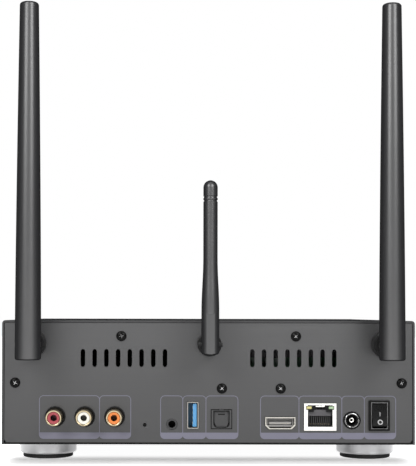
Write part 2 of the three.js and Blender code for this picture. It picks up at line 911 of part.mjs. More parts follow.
function makeMainBoard() {
  const back = panelBackY - boardFromPanel;
  const half = boardWidth / 2;
  let board = block(-half, half, back - boardDepth, back, boardBottom, boardTop);
  const low = boardBottom + boardWall / 2;
  const chipY = rearY - chipFromRear;
  const halfChip = chipSide / 2;
  const chipTop = boardTop + chipHeight;
  const chip = block(chipX - halfChip, chipX + halfChip, chipY - halfChip, chipY + halfChip, low, chipTop);
  board = join(board, chip);
  const halfMemory = memorySide / 2;
  const memoryTop = boardTop + memoryHeight;
  const memoryX = chipX - sinkSide / 2 - memorySide;
  for (const step of [-1, 0, 1]) {
    const y = chipY + step * memoryPitch;
    const x0 = memoryX - halfMemory;
    board = join(board, block(x0, x0 + memorySide, y - halfMemory, y + halfMemory, low, memoryTop));
  }
  const canY = rearY - canFromRear;
  for (const step of [0, 1, 2]) {
    const x = canX + step * canPitch;
    board = join(board, rodUp(canRadius, x, canY, low, boardTop + canHeight, smallSides));
    const coilY = canY - canPitch - coilSide;
    const x0 = x - coilSide / 2;
    board = join(board, block(x0, x0 + coilSide, coilY, coilY + coilSide, low, boardTop + coilHeight));
  }
  const housingBack = panelY - resetHousingStart;
  const housing = block(
    resetX - resetHousingWidth / 2,
    resetX + resetHousingWidth / 2,
    housingBack - resetHousingDepth,
    housingBack,
    low,
    resetZ + resetHousingTop,
  );
  const bore = rodBack(
    resetBoreRadius,
    resetX,
    resetZ,
    housingBack - resetBoreDepth,
    housingBack + overrun,
    smallSides,
  );
  return cut(join(board, housing), bore);
}

function makeHeatSink() {
  const bottom = boardTop + chipHeight;
  const half = sinkSide / 2;
  const pitch = (sinkSide - finWall) / (finCount - 1);
  const floor = bottom + sinkBase;
  const top = bottom + sinkHeight;
  const outline = [
    new THREE.Vector2(chipX - half, bottom),
    new THREE.Vector2(chipX + half, bottom),
  ];
  for (let fin = finCount - 1; fin >= 0; fin -= 1) {
    const left = chipX - half + fin * pitch;
    const right = left + finWall;
    if (fin < finCount - 1) outline.push(new THREE.Vector2(right, floor));
    outline.push(new THREE.Vector2(right, top));
    outline.push(new THREE.Vector2(left, top));
    if (fin > 0) outline.push(new THREE.Vector2(left, floor));
  }
  const middle = rearY - chipFromRear;
  return plateAcross(outline, middle - half, middle + half);
}

function makeFrontBoard() {
  const start = fasciaBackY + fasciaBossLength;
  const halfX = frontBoardWidth / 2;
  const end = start + boardWall;
  const board = block(windowX - halfX, windowX + halfX, start, end, frontBoardLow, frontBoardHigh);
  const displayOutline = roundedRectangle(
    windowX - windowWidth / 2 + windowLedge + fitGap,
    windowX + windowWidth / 2 - windowLedge - fitGap,
    windowLow + windowLedge + fitGap,
    windowHigh - windowLedge - fitGap,
    windowCorner - fitGap,
  );
  const displayFront = frontY + windowPocket + fitGap;
  const display = plateAcross(displayOutline, displayFront, start + boardWall / 2);
  const tact = tactSide / 2;
  const tactFront = buttonBackY() + buttonTravel + fitGap;
  const tactBody = block(buttonX - tact, buttonX + tact, tactFront, end, buttonZ - tact, buttonZ + tact);
  return join(board, display, tactBody);
}

// Drive, cage and backplane

function makeDrive() {
  const half = driveWidth / 2;
  const x0 = cageCentreX - half;
  const x1 = cageCentreX + half;
  const outline = roundedRectangle(x0, x1, driveFrontY, driveRearY, driveCorner);
  const castTop = driveBottom + driveHeight - driveLidRise;
  const cast = plateFlat(outline, driveBottom, castTop);
  const lidOutline = roundedRectangle(
    x0 + driveLidInset,
    x1 - driveLidInset,
    driveFrontY + driveLidInset,
    driveRearY - driveLidInset,
    driveCorner,
  );
  const lid = plateFlat(lidOutline, castTop - driveLidRise, castTop + driveLidRise);
  const boardPocket = block(
    x0 + driveBoardInset,
    x1 - driveBoardInset,
    driveFrontY + driveBoardInset,
    driveRearY - driveBoardInset,
    driveBottom - overrun,
    driveBottom + driveBoardDrop,
  );
  const plugX = cageCentreX - driveWidth / 2 + drivePlugFromSide;
  const plugPocket = block(
    plugX - drivePlugWidth / 2,
    plugX + drivePlugWidth / 2,
    driveRearY - drivePlugDepth,
    driveRearY + overrun,
    driveBottom - overrun,
    driveBottom + drivePlugHeight,
  );
  return cut(join(cast, lid), boardPocket, plugPocket);
}

function makeCage() {
  const left = cageCentreX - cageHalf;
  const right = cageCentreX + cageHalf;
  let cage = block(left, right, fasciaBackY, cageRearY, cageFloor, cageFloorTop);
  const rearTop = cageFloor + cageRearHeight;
  cage = join(cage, block(left, right, cageRearY - cageWall, cageRearY, cageFloor, rearTop));
  const openingLow = (cageFloorTop + cageTop - cageWindowHeight) / 2;
  const openingHigh = openingLow + cageWindowHeight;
  const boardFront = panelBackY - boardFromPanel - boardDepth;
  const legBacks = [boardFront - cageLegFromBoard, frontY + cageLegFromFront + cageLegWidth];
  const windowStart = fasciaBackY + cageWindowGap;
  for (const side of [-1, 1]) {
    const outer = side > 0 ? right : left;
    const inner = outer - side * cageWall;
    const x0 = Math.min(outer, inner);
    const x1 = Math.max(outer, inner);
    cage = join(cage, block(x0, x1, fasciaBackY, cageRearY, cageFloor, cageTop));
    for (let index = 0; index < cageWindowCount; index += 1) {
      const y0 = windowStart + index * (cageWindowLength + cageWindowGap);
      const opening = block(
        x0 - overrun,
        x1 + overrun,
        y0,
        y0 + cageWindowLength,
        openingLow,
        openingHigh,
      );
      cage = cut(cage, opening);
    }
    for (const back of legBacks) {
      const leg = block(x0, x1, back - cageLegWidth, back, baseTop, cageFloorTop);
      const footInner = inner - side * cageLegFoot;
      const f0 = Math.min(outer, footInner);
      const f1 = Math.max(outer, footInner);
      const foot = block(f0, f1, back - cageLegWidth, back, baseTop, baseTop + cageWall);
      cage = join(cage, leg, foot);
    }
  }
  const armTop = earScrewZ + cageEarRise - cageEarDrop;
  const armLow = earScrewZ - cageEarDrop;
  for (const x of earScrewX) {
    const x0 = x - cageEarWidth / 2;
    const x1 = x + cageEarWidth / 2;
    const armFront = cageRearY - cageWall;
    const arm = block(x0, x1, armFront, panelBackY, armLow, armLow + cageWall);
    const ear = block(x0, x1, panelBackY - cageWall, panelBackY, armLow, armTop);
    const holeFront = panelBackY - cageWall - overrun;
    const hole = rodBack(screwHoleRadius, x, earScrewZ, holeFront, panelBackY + overrun, smallSides);
    cage = cut(join(cage, arm, ear), hole);
  }
  return cage;
}

function makeBackplane() {
  const low = cageFloorTop;
  const plugX = cageCentreX - driveWidth / 2 + drivePlugFromSide;
  const x0 = cageCentreX - driveWidth / 2 + backplaneFromSide;
  const boardBack = backplaneY + backplaneWall;
  const board = block(x0, x0 + backplaneWidth, backplaneY, boardBack, low, low + backplaneHeight);
  const plugHalf = backplanePlugWidth / 2;
  const plugLow = driveBottom;
  const plug = block(
    plugX - plugHalf,
    plugX + plugHalf,
    backplaneY - backplanePlugDepth,
    backplaneY + backplaneWall / 2,
    plugLow,
    plugLow + backplanePlugHeight,
  );
  const headerX = x0 + backplaneWidth - backplaneHeaderSide;
  const header = block(
    headerX - backplaneHeaderSide,
    headerX,
    backplaneY + backplaneWall / 2,
    backplaneY + backplaneWall + backplaneHeaderDepth,
    cageFloor + cageRearHeight + fitGap,
    low + backplaneHeight,
  );
  return join(board, plug, header);
}

// Sliding tray

function makeSled() {
  const left = cageCentreX - sledHalf;
  const right = cageCentreX + sledHalf;
  const windows = [];
  const pitch = (driveRearY - trayBackY) / sledWindowCount;
  for (const side of [-1, 1]) {
    const x = cageCentreX + (side * (sledWindowWidth + cageWindowGap)) / 2;
    for (let index = 0; index < sledWindowCount; index += 1) {
      const y = trayBackY + index * pitch;
      windows.push(roundedRectangle(
        x - sledWindowWidth / 2,
        x + sledWindowWidth / 2,
        y + sledRib / 2,
        y + pitch - sledRib / 2,
        driveCorner,
      ));
    }
  }
  const outline = rectangle(left, right, trayBackY, driveRearY);
  const floor = plateFlat(outline, sledBottom, driveBottom, windows);
  const sideTop = sledBottom + sledSideHeight;
  const leftWall = block(left, left + sledWall, trayBackY, driveRearY, sledBottom, sideTop);
  const rightWall = block(right - sledWall, right, trayBackY, driveRearY, sledBottom, sideTop);
  const lipTop = sledBottom + sledLipHeight;
  const lipBack = driveFrontY - fitGap;
  const lip = block(left, right, trayBackY, lipBack, sledBottom, lipTop);
  return join(floor, leftWall, rightWall, lip);
}

function makeTrayFront() {
  const left = cageCentreX - trayFrontWidth / 2;
  const right = cageCentreX + trayFrontWidth / 2;
  const low = trayFrontBottom;
  const high = trayFrontTop;
  const air = roundedRectangle(
    leverX - airWindowWidth / 2,
    leverX + airWindowWidth / 2,
    airWindowZ - airWindowHeight / 2,
    airWindowZ + airWindowHeight / 2,
    airWindowCorner,
  );
  const plate = roundedRectangle(left, right, low, high, trayFrontCorner);
  let front = plateAcross(plate, frontY, trayBackY, [air]);
  const halfLever = leverLength / 2 + fitGap;
  const halfHeight = leverHeight / 2 + fitGap;
  const recessFloor = frontY + leverWall + fitGap;
  const recess = block(
    leverX - halfLever,
    leverX + halfLever,
    frontY - overrun,
    recessFloor,
    leverZ - halfHeight,
    leverZ + halfHeight,
  );
  const pinReach = leverHeight / 2 + leverPinReach + fitGap;
  const pinHole = rodUp(
    leverPinRadius + leverPinGap,
    leverPivotX(),
    leverPivotY(),
    leverZ - pinReach,
    leverZ + pinReach,
    smallSides,
  );
  const halfLatch = latchWidth / 2 + fitGap;
  const latchRecess = block(
    latchX - halfLatch,
    latchX + halfLatch,
    frontY - overrun,
    latchFloorY(),
    leverZ - latchHeight / 2 - fitGap,
    leverZ + latchHeight / 2 + fitGap,
  );
  const stemHole = rodBack(
    latchStemRadius + fitGap,
    latchX,
    leverZ,
    frontY,
    trayBackY + overrun,
    roundSides,
  );
  front = cut(front, recess, pinHole, latchRecess, stemHole);
  return front;
}

function leverPivotX() {
  return leverX - leverLength / 2 + leverWall / 2;
}

function leverPivotY() {
  return frontY + leverWall / 2;
}

function latchFloorY() {
  return frontY + latchSeat + latchTravel + fitGap;
}

// The pull lever, drawn about its own pivot
function makeLever() {
  const radius = leverWall / 2;
  const reach = leverLength - leverWall;
  const quarter = Math.PI / 2;
  const outline = [
    ...arc(0, 0, radius, quarter, 3 * quarter, 6),
    new THREE.Vector2(reach - leverGripWidth, -radius),
    ...arc(reach, 0, radius, -quarter, quarter, 6),
    new THREE.Vector2(reach - leverGripDepth, radius),
    new THREE.Vector2(reach - leverGripWidth / 2, radius - leverGripDepth),
    new THREE.Vector2(reach - leverGripWidth, radius),
  ];
  const half = leverHeight / 2;
  const bar = plateFlat(outline, -half, half);
  const pinHalf = half + leverPinReach;
  return join(bar, rodUp(leverPinRadius, 0, 0, -pinHalf, pinHalf, smallSides));
}

function makeLatchButton() {
  const half = latchWidth / 2;
  const high = latchHeight / 2;
  const outline = roundedRectangle(latchX - half, latchX + half, leverZ - high, leverZ + high, padEdge);
  const cap = plateAcross(outline, frontY, frontY + latchSeat);
  const stemBack = trayBackY + fitGap;
  const stem = rodBack(latchStemRadius, latchX, leverZ, frontY + latchSeat / 2, stemBack, roundSides);
  const flangeRadius = latchStemRadius + latchFlangeReach;
  const flange = rodBack(flangeRadius, latchX, leverZ, stemBack, stemBack + latchFlange, roundSides);
  return join(cap, stem, flange);
}

// Front window and power button

function makeWindow() {
  const outline = roundedRectangle(
    windowX - windowWidth / 2 + seamGap,
    windowX + windowWidth / 2 - seamGap,
    windowLow + seamGap,
    windowHigh - seamGap,
    windowCorner - seamGap,
  );
  const back = frontY + windowPocket;
  return plateAcross(outline, back - windowWall, back);
}

function buttonBackY() {
  return fasciaBackY + fitGap + buttonFlange;
}

function makePowerButton() {
  const front = frontY - buttonProud;
  const flangeRadius = buttonRadius + buttonFlangeReach;
  const flangeFront = fasciaBackY + fitGap;
  const button = turned([
    [0, front + buttonDish],
    [buttonRadius - 2 * buttonEdge, front + buttonRimDish],
    [buttonRadius - buttonEdge, front],
    [buttonRadius, front + buttonEdge],
    [buttonRadius, flangeFront],
    [flangeRadius, flangeFront],
    [flangeRadius, buttonBackY()],
    [0, buttonBackY()],
  ]);
  return button.translate([buttonX, 0, buttonZ]);
}

// Phono sockets

function makePhonoBlock() {
  const x0 = Math.min(...phonoX) - phonoBlockSide;
  const x1 = Math.max(...phonoX) + phonoBlockSide;
  const top = phonoZ + phonoBlockTop;
  const front = panelBackY - phonoBlockDepth;
  let body = block(x0, x1, front, panelBackY, boardTop, top);
  const boreFloor = panelY - phonoSleeveSunk;
  const noseEnd = panelY + phonoNoseProud;
  for (const x of phonoX) {
    const nose = rodBack(phonoNoseRadius, x, phonoZ, boreFloor, noseEnd);
    body = join(body, nose);
  }
  for (const x of phonoX) {
    const bore = rodBack(phonoSleeveRadius + fitGap / 2, x, phonoZ, boreFloor, noseEnd + overrun);
    body = cut(body, bore);
  }
  return body;
}

// Drawn with the panel's face at y = 0
function makePhonoSleeve() {
  const outer = phonoSleeveRadius;
  const bore = phonoSleeveBore;
  const end = phonoSleeveProud;
  const edge = phonoSleeveEdge;
  const start = -phonoSleeveSunk;
  return turned([
    [bore, start],
    [outer, start],
    [outer, end - edge],
    [outer - edge, end],
    [bore + edge, end],
    [bore, end - edge],
    [bore, start],
  ]);
}

function makePhonoInsert() {
  const radius = phonoInsertRadius;
  const hole = phonoInsertHole;
  const end = phonoSleeveProud - phonoInsertRecess;
  const floor = end - phonoInsertDepth;
  return turned([
    [0, -phonoSleeveSunk],
    [radius, -phonoSleeveSunk],
    [radius, end],
    [hole, end],
    [hole, floor],
    [0, floor],
  ]);
}

// Small sockets

function makeIrJack() {
  const half = irBodyWidth / 2;
  const front = panelBackY - irBodyDepth;
  const body = block(irX - half, irX + half, front, panelBackY, boardTop, irZ + irBodyTop);
  const nose = rodBack(irNoseRadius, irX, irZ, panelBackY - panelWall, panelY);
  const bore = rodBack(irHoleRadius, irX, irZ, panelY - irHoleDepth, panelY + overrun);
  return cut(join(body, nose), bore);
}

function makeResetPlunger() {
  const back = panelY - resetPinSunk;
  return rodBack(resetPinRadius, resetX, resetZ, back - resetPinLength, back, smallSides);
}

// A rectangular sheet shell that is open at both ends
function tubeAcross(outer, inner, y0, y1) {
  const bore = plateAcross(inner, y0 - overrun, y1 + overrun);
  return cut(plateAcross(outer, y0, y1), bore);
}

function makeDataShell() {
  const halfX = dataWidth / 2;
  const halfZ = dataHeight / 2;
  const outer = roundedRectangle(dataX - halfX, dataX + halfX, dataZ - halfZ, dataZ + halfZ, dataWall, 2);
  const inner = rectangle(
    dataX - halfX + dataWall,
    dataX + halfX - dataWall,
    dataZ - halfZ + dataWall,
    dataZ + halfZ - dataWall,
  );
  return tubeAcross(outer, inner, panelY - dataShellDepth, panelY + dataProud);
}

function makeDataTongue() {
  const halfX = dataWidth / 2;
  const back = panelY - dataShellDepth;
  const top = dataZ + dataHeight / 2;
  const base = block(dataX - halfX, dataX + halfX, back - dataBlockDepth, back, boardTop, top);
  const x0 = dataX - halfX + dataWall + dataTongueInset;
  const halfZ = dataTongueHeight / 2;
  const end = panelY + dataProud - dataTongueSunk;
  const start = back - dataBlockDepth / 2;
  const tongue = block(x0, x0 + dataTongueWall, start, end, dataZ - halfZ, dataZ + halfZ);
  return join(base, tongue);
}

function opticalDoorOutline(margin) {
  const halfX = opticalDoorWidth / 2 + margin;
  const low = opticalZ - opticalDoorHeight / 2 - margin;
  const high = opticalZ + opticalDoorHeight / 2 + margin;
  return [
    new THREE.Vector2(opticalX - halfX + opticalDoorCut, low),
    new THREE.Vector2(opticalX + halfX - opticalDoorCut, low),
    new THREE.Vector2(opticalX + halfX, low + opticalDoorCutRise),
    new THREE.Vector2(opticalX + halfX, high),
    new THREE.Vector2(opticalX - halfX, high),
    new THREE.Vector2(opticalX - halfX, low + opticalDoorCutRise),
  ];
}

function opticalPivotY() {
  return panelY + opticalProud - opticalDoorSunk - opticalDoorWall / 2;
}

function opticalPivotZ() {
  return opticalZ + opticalDoorHeight / 2 - opticalDoorWall / 2;
}

function makeOpticalHousing() {
  const halfX = opticalWidth / 2;
  const high = opticalZ + opticalHeight / 2;
  const low = opticalZ - opticalHeight / 2;
  const end = panelY + opticalProud;
  const back = end - opticalDepth;
  const nose = block(opticalX - halfX, opticalX + halfX, back, end, low, high);
  const foot = block(opticalX - halfX, opticalX + halfX, back, panelBackY, boardTop, high);
  const mouth = plateAcross(opticalDoorOutline(fitGap), end - opticalCavityDepth, end + overrun);
  const sideX = opticalDoorWidth / 2 + opticalCavitySide;
  const sideZ = opticalDoorHeight / 2 + opticalCavitySide;
  const cavityEnd = opticalPivotY() - opticalDoorWall / 2 - fitGap;
  const cavity = block(
    opticalX - sideX,
    opticalX + sideX,
    end - opticalCavityDepth,
    cavityEnd,
    opticalZ - sideZ,
    opticalZ + sideZ,
  );
  const pinReach = opticalDoorWidth / 2 + opticalPinReach + fitGap;
  const pinHole = rodAcross(
    opticalPinRadius + seamGap,
    opticalPivotY(),
    opticalPivotZ(),
    opticalX - pinReach,
    opticalX + pinReach,
    smallSides,
  );
  return cut(join(nose, foot), mouth, cavity, pinHole);
}

function makeOpticalShutter() {
  const front = opticalPivotY() + opticalDoorWall / 2;
  const door = plateAcross(opticalDoorOutline(0), front - opticalDoorWall, front);
  const reach = opticalDoorWidth / 2 + opticalPinReach;
  const pin = rodAcross(
    opticalPinRadius,
    opticalPivotY(),
    opticalPivotZ(),
    opticalX - reach,
    opticalX + reach,
    smallSides,
  );
  return join(door, pin);
}

function videoOutline(margin) {
  const halfX = videoWidth / 2 + margin;
  const low = videoZ - videoHeight / 2 - margin;
  const high = videoZ + videoHeight / 2 + margin;
  const step = videoCut;
  return [
    new THREE.Vector2(videoX - halfX + step, low),
    new THREE.Vector2(videoX + halfX - step, low),
    new THREE.Vector2(videoX + halfX, low + step),
    new THREE.Vector2(videoX + halfX, high),
    new THREE.Vector2(videoX - halfX, high),
    new THREE.Vector2(videoX - halfX, low + step),
  ];
}

function makeVideoShell() {
  const inner = videoOutline(-videoWall);
  return tubeAcross(videoOutline(0), inner, panelY - videoShellDepth, panelY + videoProud);
}

function makeVideoTongue() {
  const halfX = videoWidth / 2;
  const back = panelY - videoShellDepth;
  const top = videoZ + videoHeight / 2;
  const base = block(videoX - halfX, videoX + halfX, back - videoBlockDepth, back, boardTop, top);
  const halfTongue = videoTongueWidth / 2;
  const low = videoZ + videoTongueRise - videoTongueWall / 2;
  const start = back - videoBlockDepth / 2;
  const end = panelY + videoProud - videoTongueSunk;
  const tongue = block(videoX - halfTongue, videoX + halfTongue, start, end, low, low + videoTongueWall);
  return join(base, tongue);
}

function makeNetworkShield() {
  const halfX = networkWidth / 2;
  const top = boardTop + networkHeight;
  const end = panelY + networkProud;
  const start = end - networkDepth;
  const shell = block(networkX - halfX, networkX + halfX, start, end, boardTop, top);
  const hollow = block(
    networkX - halfX + networkWall,
    networkX + halfX - networkWall,
    start + networkWall,
    end - networkFaceWall,
    boardTop + networkWall,
    top - networkWall,
  );
  const halfWindow = networkWindowWidth / 2;
  const windowBack = end - networkFaceWall - overrun;
  const window = block(
    networkX - halfWindow,
    networkX + halfWindow,
    windowBack,
    end + overrun,
    boardTop + networkWindowFloor,
    top - networkWindowTop,
  );
  const lampZ = top - networkLampDrop;
  const lamps = [networkX - networkLampSide, networkX + networkLampSide].map((x) => block(
    x - networkLampWidth / 2,
    x + networkLampWidth / 2,
    windowBack,
    end + overrun,
    lampZ - networkLampHeight / 2,
    lampZ + networkLampHeight / 2,
  ));
  return cut(shell, hollow, window, ...lamps);
}

function makeNetworkInsert() {
  const halfX = networkWidth / 2 - networkWall;
  const low = boardTop + networkWall;
  const high = boardTop + networkHeight - networkWall;
  const end = panelY + networkProud - networkFaceWall;
  const start = panelY + networkProud - networkDepth + networkWall;
  const body = block(networkX - halfX, networkX + halfX, start, end, low, high);
  const floor = boardTop + networkPlugFloor;
  const plugTop = floor + networkPlugHeight;
  const latchTop = plugTop + networkLatchHeight;
  const keyTop = latchTop + networkKeyHeight;
  const outline = [
    new THREE.Vector2(networkX - networkPlugWidth / 2, floor),
    new THREE.Vector2(networkX + networkPlugWidth / 2, floor),
    new THREE.Vector2(networkX + networkPlugWidth / 2, plugTop),
    new THREE.Vector2(networkX + networkLatchWidth / 2, plugTop),
    new THREE.Vector2(networkX + networkLatchWidth / 2, latchTop),
    new THREE.Vector2(networkX + networkKeyWidth / 2, latchTop),
    new THREE.Vector2(networkX + networkKeyWidth / 2, keyTop),
    new THREE.Vector2(networkX - networkKeyWidth / 2, keyTop),
    new THREE.Vector2(networkX - networkKeyWidth / 2, latchTop),
    new THREE.Vector2(networkX - networkLatchWidth / 2, latchTop),
    new THREE.Vector2(networkX - networkLatchWidth / 2, plugTop),
    new THREE.Vector2(networkX - networkPlugWidth / 2, plugTop),
  ];
  return cut(body, plateAcross(outline, end - networkPlugDepth, end + overrun));
}

function makeInletHousing() {
  const half = inletBlockWidth / 2;
  const front = panelBackY - inletBlockDepth;
  const top = inletZ + inletBlockTop;
  const body = block(inletX - half, inletX + half, front, panelBackY, boardTop, top);
  const noseEnd = panelY + inletNoseProud;
  const nose = rodBack(inletNoseRadius, inletX, inletZ, panelBackY - panelWall, noseEnd);
  const floor = panelY - inletBarrelDepth;
  const boreRadius = inletBarrelRadius + seamGap / 2;
  const bore = rodBack(boreRadius, inletX, inletZ, floor, noseEnd + overrun);
  return cut(join(body, nose), bore);
}

// Drawn with the panel's face at y = 0
function makeInletBarrel() {
  const start = -inletBarrelDepth;
  const floor = start + inletBarrelFloor;
  const end = inletBarrelProud;
  return turned([
    [0, start],
    [inletBarrelRadius, start],
    [inletBarrelRadius, end],
    [inletBarrelBore, end],
    [inletBarrelBore, floor],
    [inletPinRadius, floor],
    [inletPinRadius, -inletPinSunk],
    [0, -inletPinSunk],
  ]);
}

// Rocker switch, with its pivot line at the middle of the rocker

function rockerPivotY() {
  return panelY + bezelProud - rockerPivotSunk;
}

function rockerCornerReach() {
  const rise = rockerRise + rockerHalf * Math.tan(rockerTiltDegrees * degree);
  return Math.hypot(rockerHalf, rise);
}

function makeSwitchHousing() {
  const halfX = bezelWidth / 2;
  const halfZ = bezelHeight / 2;
  const end = panelY + bezelProud;
  const rim = roundedRectangle(
    switchX - halfX,
    switchX + halfX,
    switchZ - halfZ,
    switchZ + halfZ,
    bezelCorner,
  );
  const bezel = plateAcross(rim, panelY, end);
  const bodyHalfX = switchBodyWidth / 2;
  const bodyHalfZ = switchBodyHeight / 2;
  const body = block(
    switchX - bodyHalfX,
    switchX + bodyHalfX,
    panelBackY - switchBodyDepth,
    panelY + bezelProud / 2,
    switchZ - bodyHalfZ,
    switchZ + bodyHalfZ,
  );
  const cavityX = rockerWidth / 2 + fitGap;
  const cavityZ = rockerCornerReach() + rockerEndGap;
  const cavity = block(
    switchX - cavityX,
    switchX + cavityX,
    rockerPivotY() - switchCavityDepth,
    end + overrun,
    switchZ - cavityZ,
    switchZ + cavityZ,
  );
  const pinReach = rockerWidth / 2 + rockerPinReach + rockerEndGap;
  const pinHole = rodAcross(
    rockerPinRadius + seamGap,
    rockerPivotY(),
    switchZ,
    switchX - pinReach,
    switchX + pinReach,
    smallSides,
  );
  return cut(join(bezel, body), cavity, pinHole);
}

// Drawn about its pivot, level; the group that carries it leans it with its top pressed in
function makeRocker() {
  const tilt = rockerTiltDegrees * degree;
  const tip = rockerRise + rockerHalf * Math.tan(tilt);
  const outline = [
    new THREE.Vector2(-rockerHeelDepth, -rockerHeelHalf),
    new THREE.Vector2(0, -rockerHalf),
    new THREE.Vector2(tip, -rockerHalf),
    new THREE.Vector2(rockerRise, 0),
    new THREE.Vector2(tip, rockerHalf),
    new THREE.Vector2(0, rockerHalf),
    new THREE.Vector2(-rockerHeelDepth, rockerHeelHalf),
  ];
  const half = rockerWidth / 2;
  const body = plateAlong(outline, -half, half);
  const reach = half + rockerPinReach;
  return join(body, rodAcross(rockerPinRadius, 0, 0, -reach, reach, smallSides));
}

// Antennas, drawn about the hinge pin, with the panel's face at y = -hingeReach

function makeJack() {
  const flangeBack = -panelWall;
  const barrel = turned([
    [0, flangeBack - jackFlange],
    [jackFlangeRadius, flangeBack - jackFlange],
    [jackFlangeRadius, flangeBack],
    [jackRadius, flangeBack],
    [jackRadius, jackLength],
    [0, jackLength],
  ]);
  const nutRadius = nutAcross / 2 / Math.cos(Math.PI / 6);
  return join(barrel, rodBack(nutRadius, 0, 0, 0, nutHeight, 6));
}

function makeKnuckle(size) {
  const start = nutHeight + fitGap - hingeReach;
  const end = -size.drop - sweepGap;
  const boreEnd = jackLength + collarEnd - hingeReach;
  const sleeve = turned([
    [jackRadius + collarGap, start],
    [size.collarRadius - collarGap, start],
    [size.collarRadius, start + collarGap],
    [size.collarRadius, end - collarEnd],
    [size.collarRadius - collarEnd, end],
    [0, end],
    [0, boreEnd],
    [jackRadius + collarGap, boreEnd],
    [jackRadius + collarGap, start],
  ]);
  const half = size.tongueWall / 2;
  const radius = size.tongueRadius;
  const quarter = Math.PI / 2;
  const root = end - collarEnd;
  const outline = [
    new THREE.Vector2(root, radius),
    new THREE.Vector2(root, -radius),
    ...arc(0, 0, radius, -quarter, quarter, 6),
  ];
  const tongue = plateAlong(outline, -half, half);
  const pin = rodAcross(size.pinRadius, 0, 0, -size.pinHalf, size.pinHalf);
  return join(sleeve, tongue, pin);
}

// The fork slot and pin hole that let a whip fold straight back on its knuckle
function forkSpaces(size) {
  const half = size.tongueWall / 2 + fitGap;
  const radius = size.tongueRadius + slotGap;
  const reach = size.drop + size.dome + overrun;
  const behind = block(-half, half, -reach, 0, -reach, radius);
  const below = block(-half, half, -reach, radius, -reach, 0);
  const round = rodAcross(radius, 0, 0, -half, half, roundSides);
  const wide = size.pinHalf + overrun;
  const pinHole = rodAcross(size.pinRadius + pinGap, 0, 0, -wide, wide);
  return [behind, below, round, pinHole];
}

// What a whip may fill at its lower end, so that it clears the collar as it folds
function heelEnvelope(size, tallest) {
  const wide = 2 * size.collarRadius;
  const round = rodAcross(size.drop, 0, 0, -wide, wide, heelSides);
  const ahead = block(-wide, wide, 0, wide, -size.drop, tallest);
  const above = block(-wide, wide, -wide, wide, 0, tallest);
  return join(round, ahead, above);
}

function makeSideWhip() {
  const size = sideAntenna;
  const bottom = -size.drop;
  const profile = [
    [0, bottom],
    [size.lowerRadius - size.heel, bottom + size.dome],
    [size.lowerRadius, bottom + size.dome + size.heel],
  ];
  const rings = 7;
  const start = bottom + size.dome + size.heel;
  const end = size.top - size.crown;
  for (let ring = 1; ring <= rings; ring += 1) {
    const share = ring / rings;
    const narrowing = (size.lowerRadius - size.upperRadius) * share ** size.bendShare;
    profile.push([size.lowerRadius - narrowing, start + (end - start) * share]);
  }
  const quarter = Math.PI / 2;
  const crown = arc(size.upperRadius - size.crown, end, size.crown, 0, quarter, 3);
  for (const point of crown.slice(1)) profile.push([point.x, point.y]);
  profile.push([0, size.top]);
  const rod = turnedUp(profile);
  return cut(rod.intersect(heelEnvelope(size, size.top + overrun)), ...forkSpaces(size));
}

function makeCentreWhip() {
  const size = centreAntenna;
  const bottom = -size.drop;
  const profile = [
    [0, bottom],
    [size.baseRadius - size.heel, bottom + size.dome],
    [size.baseRadius, bottom + size.dome + size.heel],
    [size.baseRadius, size.flareBottom],
  ];
  const rings = 4;
  for (let ring = 1; ring <= rings; ring += 1) {
    const share = ring / rings;
    const ease = (1 - Math.cos(Math.PI * share)) / 2;
    const radius = size.baseRadius + (size.shaftRadius - size.baseRadius) * ease;
    profile.push([radius, size.flareBottom + (size.flareTop - size.flareBottom) * share]);
  }
  for (const height of size.grooveHeights) {
    const half = size.grooveWidth / 2;
    profile.push([size.shaftRadius, height - half]);
    profile.push([size.shaftRadius - size.grooveDepth, height]);
    profile.push([size.shaftRadius, height + half]);
  }
  const domeStart = size.top - size.shaftRadius;
  const dome = arc(0, domeStart, size.shaftRadius, 0, Math.PI / 2, 4);
  for (const point of dome.slice(0, -1)) profile.push([point.x, point.y]);
  profile.push([0, size.top]);
  const rod = turnedUp(profile);
  const wide = 2 * size.collarRadius;
  const facet = block(-wide, wide, size.facetDepth, wide, -wide, size.facetTop);
  const trimmed = rod.intersect(heelEnvelope(size, size.top + overrun));
  return cut(trimmed, facet, ...forkSpaces(size));
}

// Assembly

const player = new THREE.Group();
player.name = "media_player";
player.position.set(0, -centreY, 0);

piece("top_cover", makeCover(), darkPaint, player);
piece("base_plate", makeBase(), zincSteel, player);
piece("rear_panel", makeRearPanel(), greyPaint, player);
piece("front_panel", makeFascia(), blackAluminium, player);

const footPlaces = [
  ["rear_right", footFromMiddle, rearY - footFromRear],
  ["rear_left", -footFromMiddle, rearY - footFromRear],
  ["front_right", footFromMiddle, frontY + footFromFront],
  ["front_left", -footFromMiddle, frontY + footFromFront],
];
for (const [where, x, y] of footPlaces) {
  piece(`foot_${where}`, makeFoot(), polishedSteel, player).position.set(x, y, 0);
  piece(`foot_pad_${where}`, makePad(), blackRubber, player).position.set(x, y, 0);
}

const screwPlaces = [
  ["top_right", topScrewX, topScrewZ],
  ["top_left", -topScrewX, topScrewZ],
  ["side_right", sideScrewX, sideScrewZ],
  ["side_left", -sideScrewX, sideScrewZ],
  ["cage_right", earScrewX[0], earScrewZ],
  ["cage_left", earScrewX[1], earScrewZ],
];
for (const [where, x, z] of screwPlaces) {
  piece(`rear_screw_${where}`, makeScrew(), blackScrew, player).position.set(x, panelY, z);
}

piece("main_board", makeMainBoard(), greenBoard, player);
piece("heat_sink", makeHeatSink(), paleAluminium, player);
piece("front_board", makeFrontBoard(), greenBoard, player);
piece("drive_cage", makeCage(), zincSteel, player);
piece("drive_backplane", makeBackplane(), greenBoard, player);
piece("display_window", makeWindow(), smokedWindow, player);
piece("power_button", makePowerButton(), polishedSteel, player);

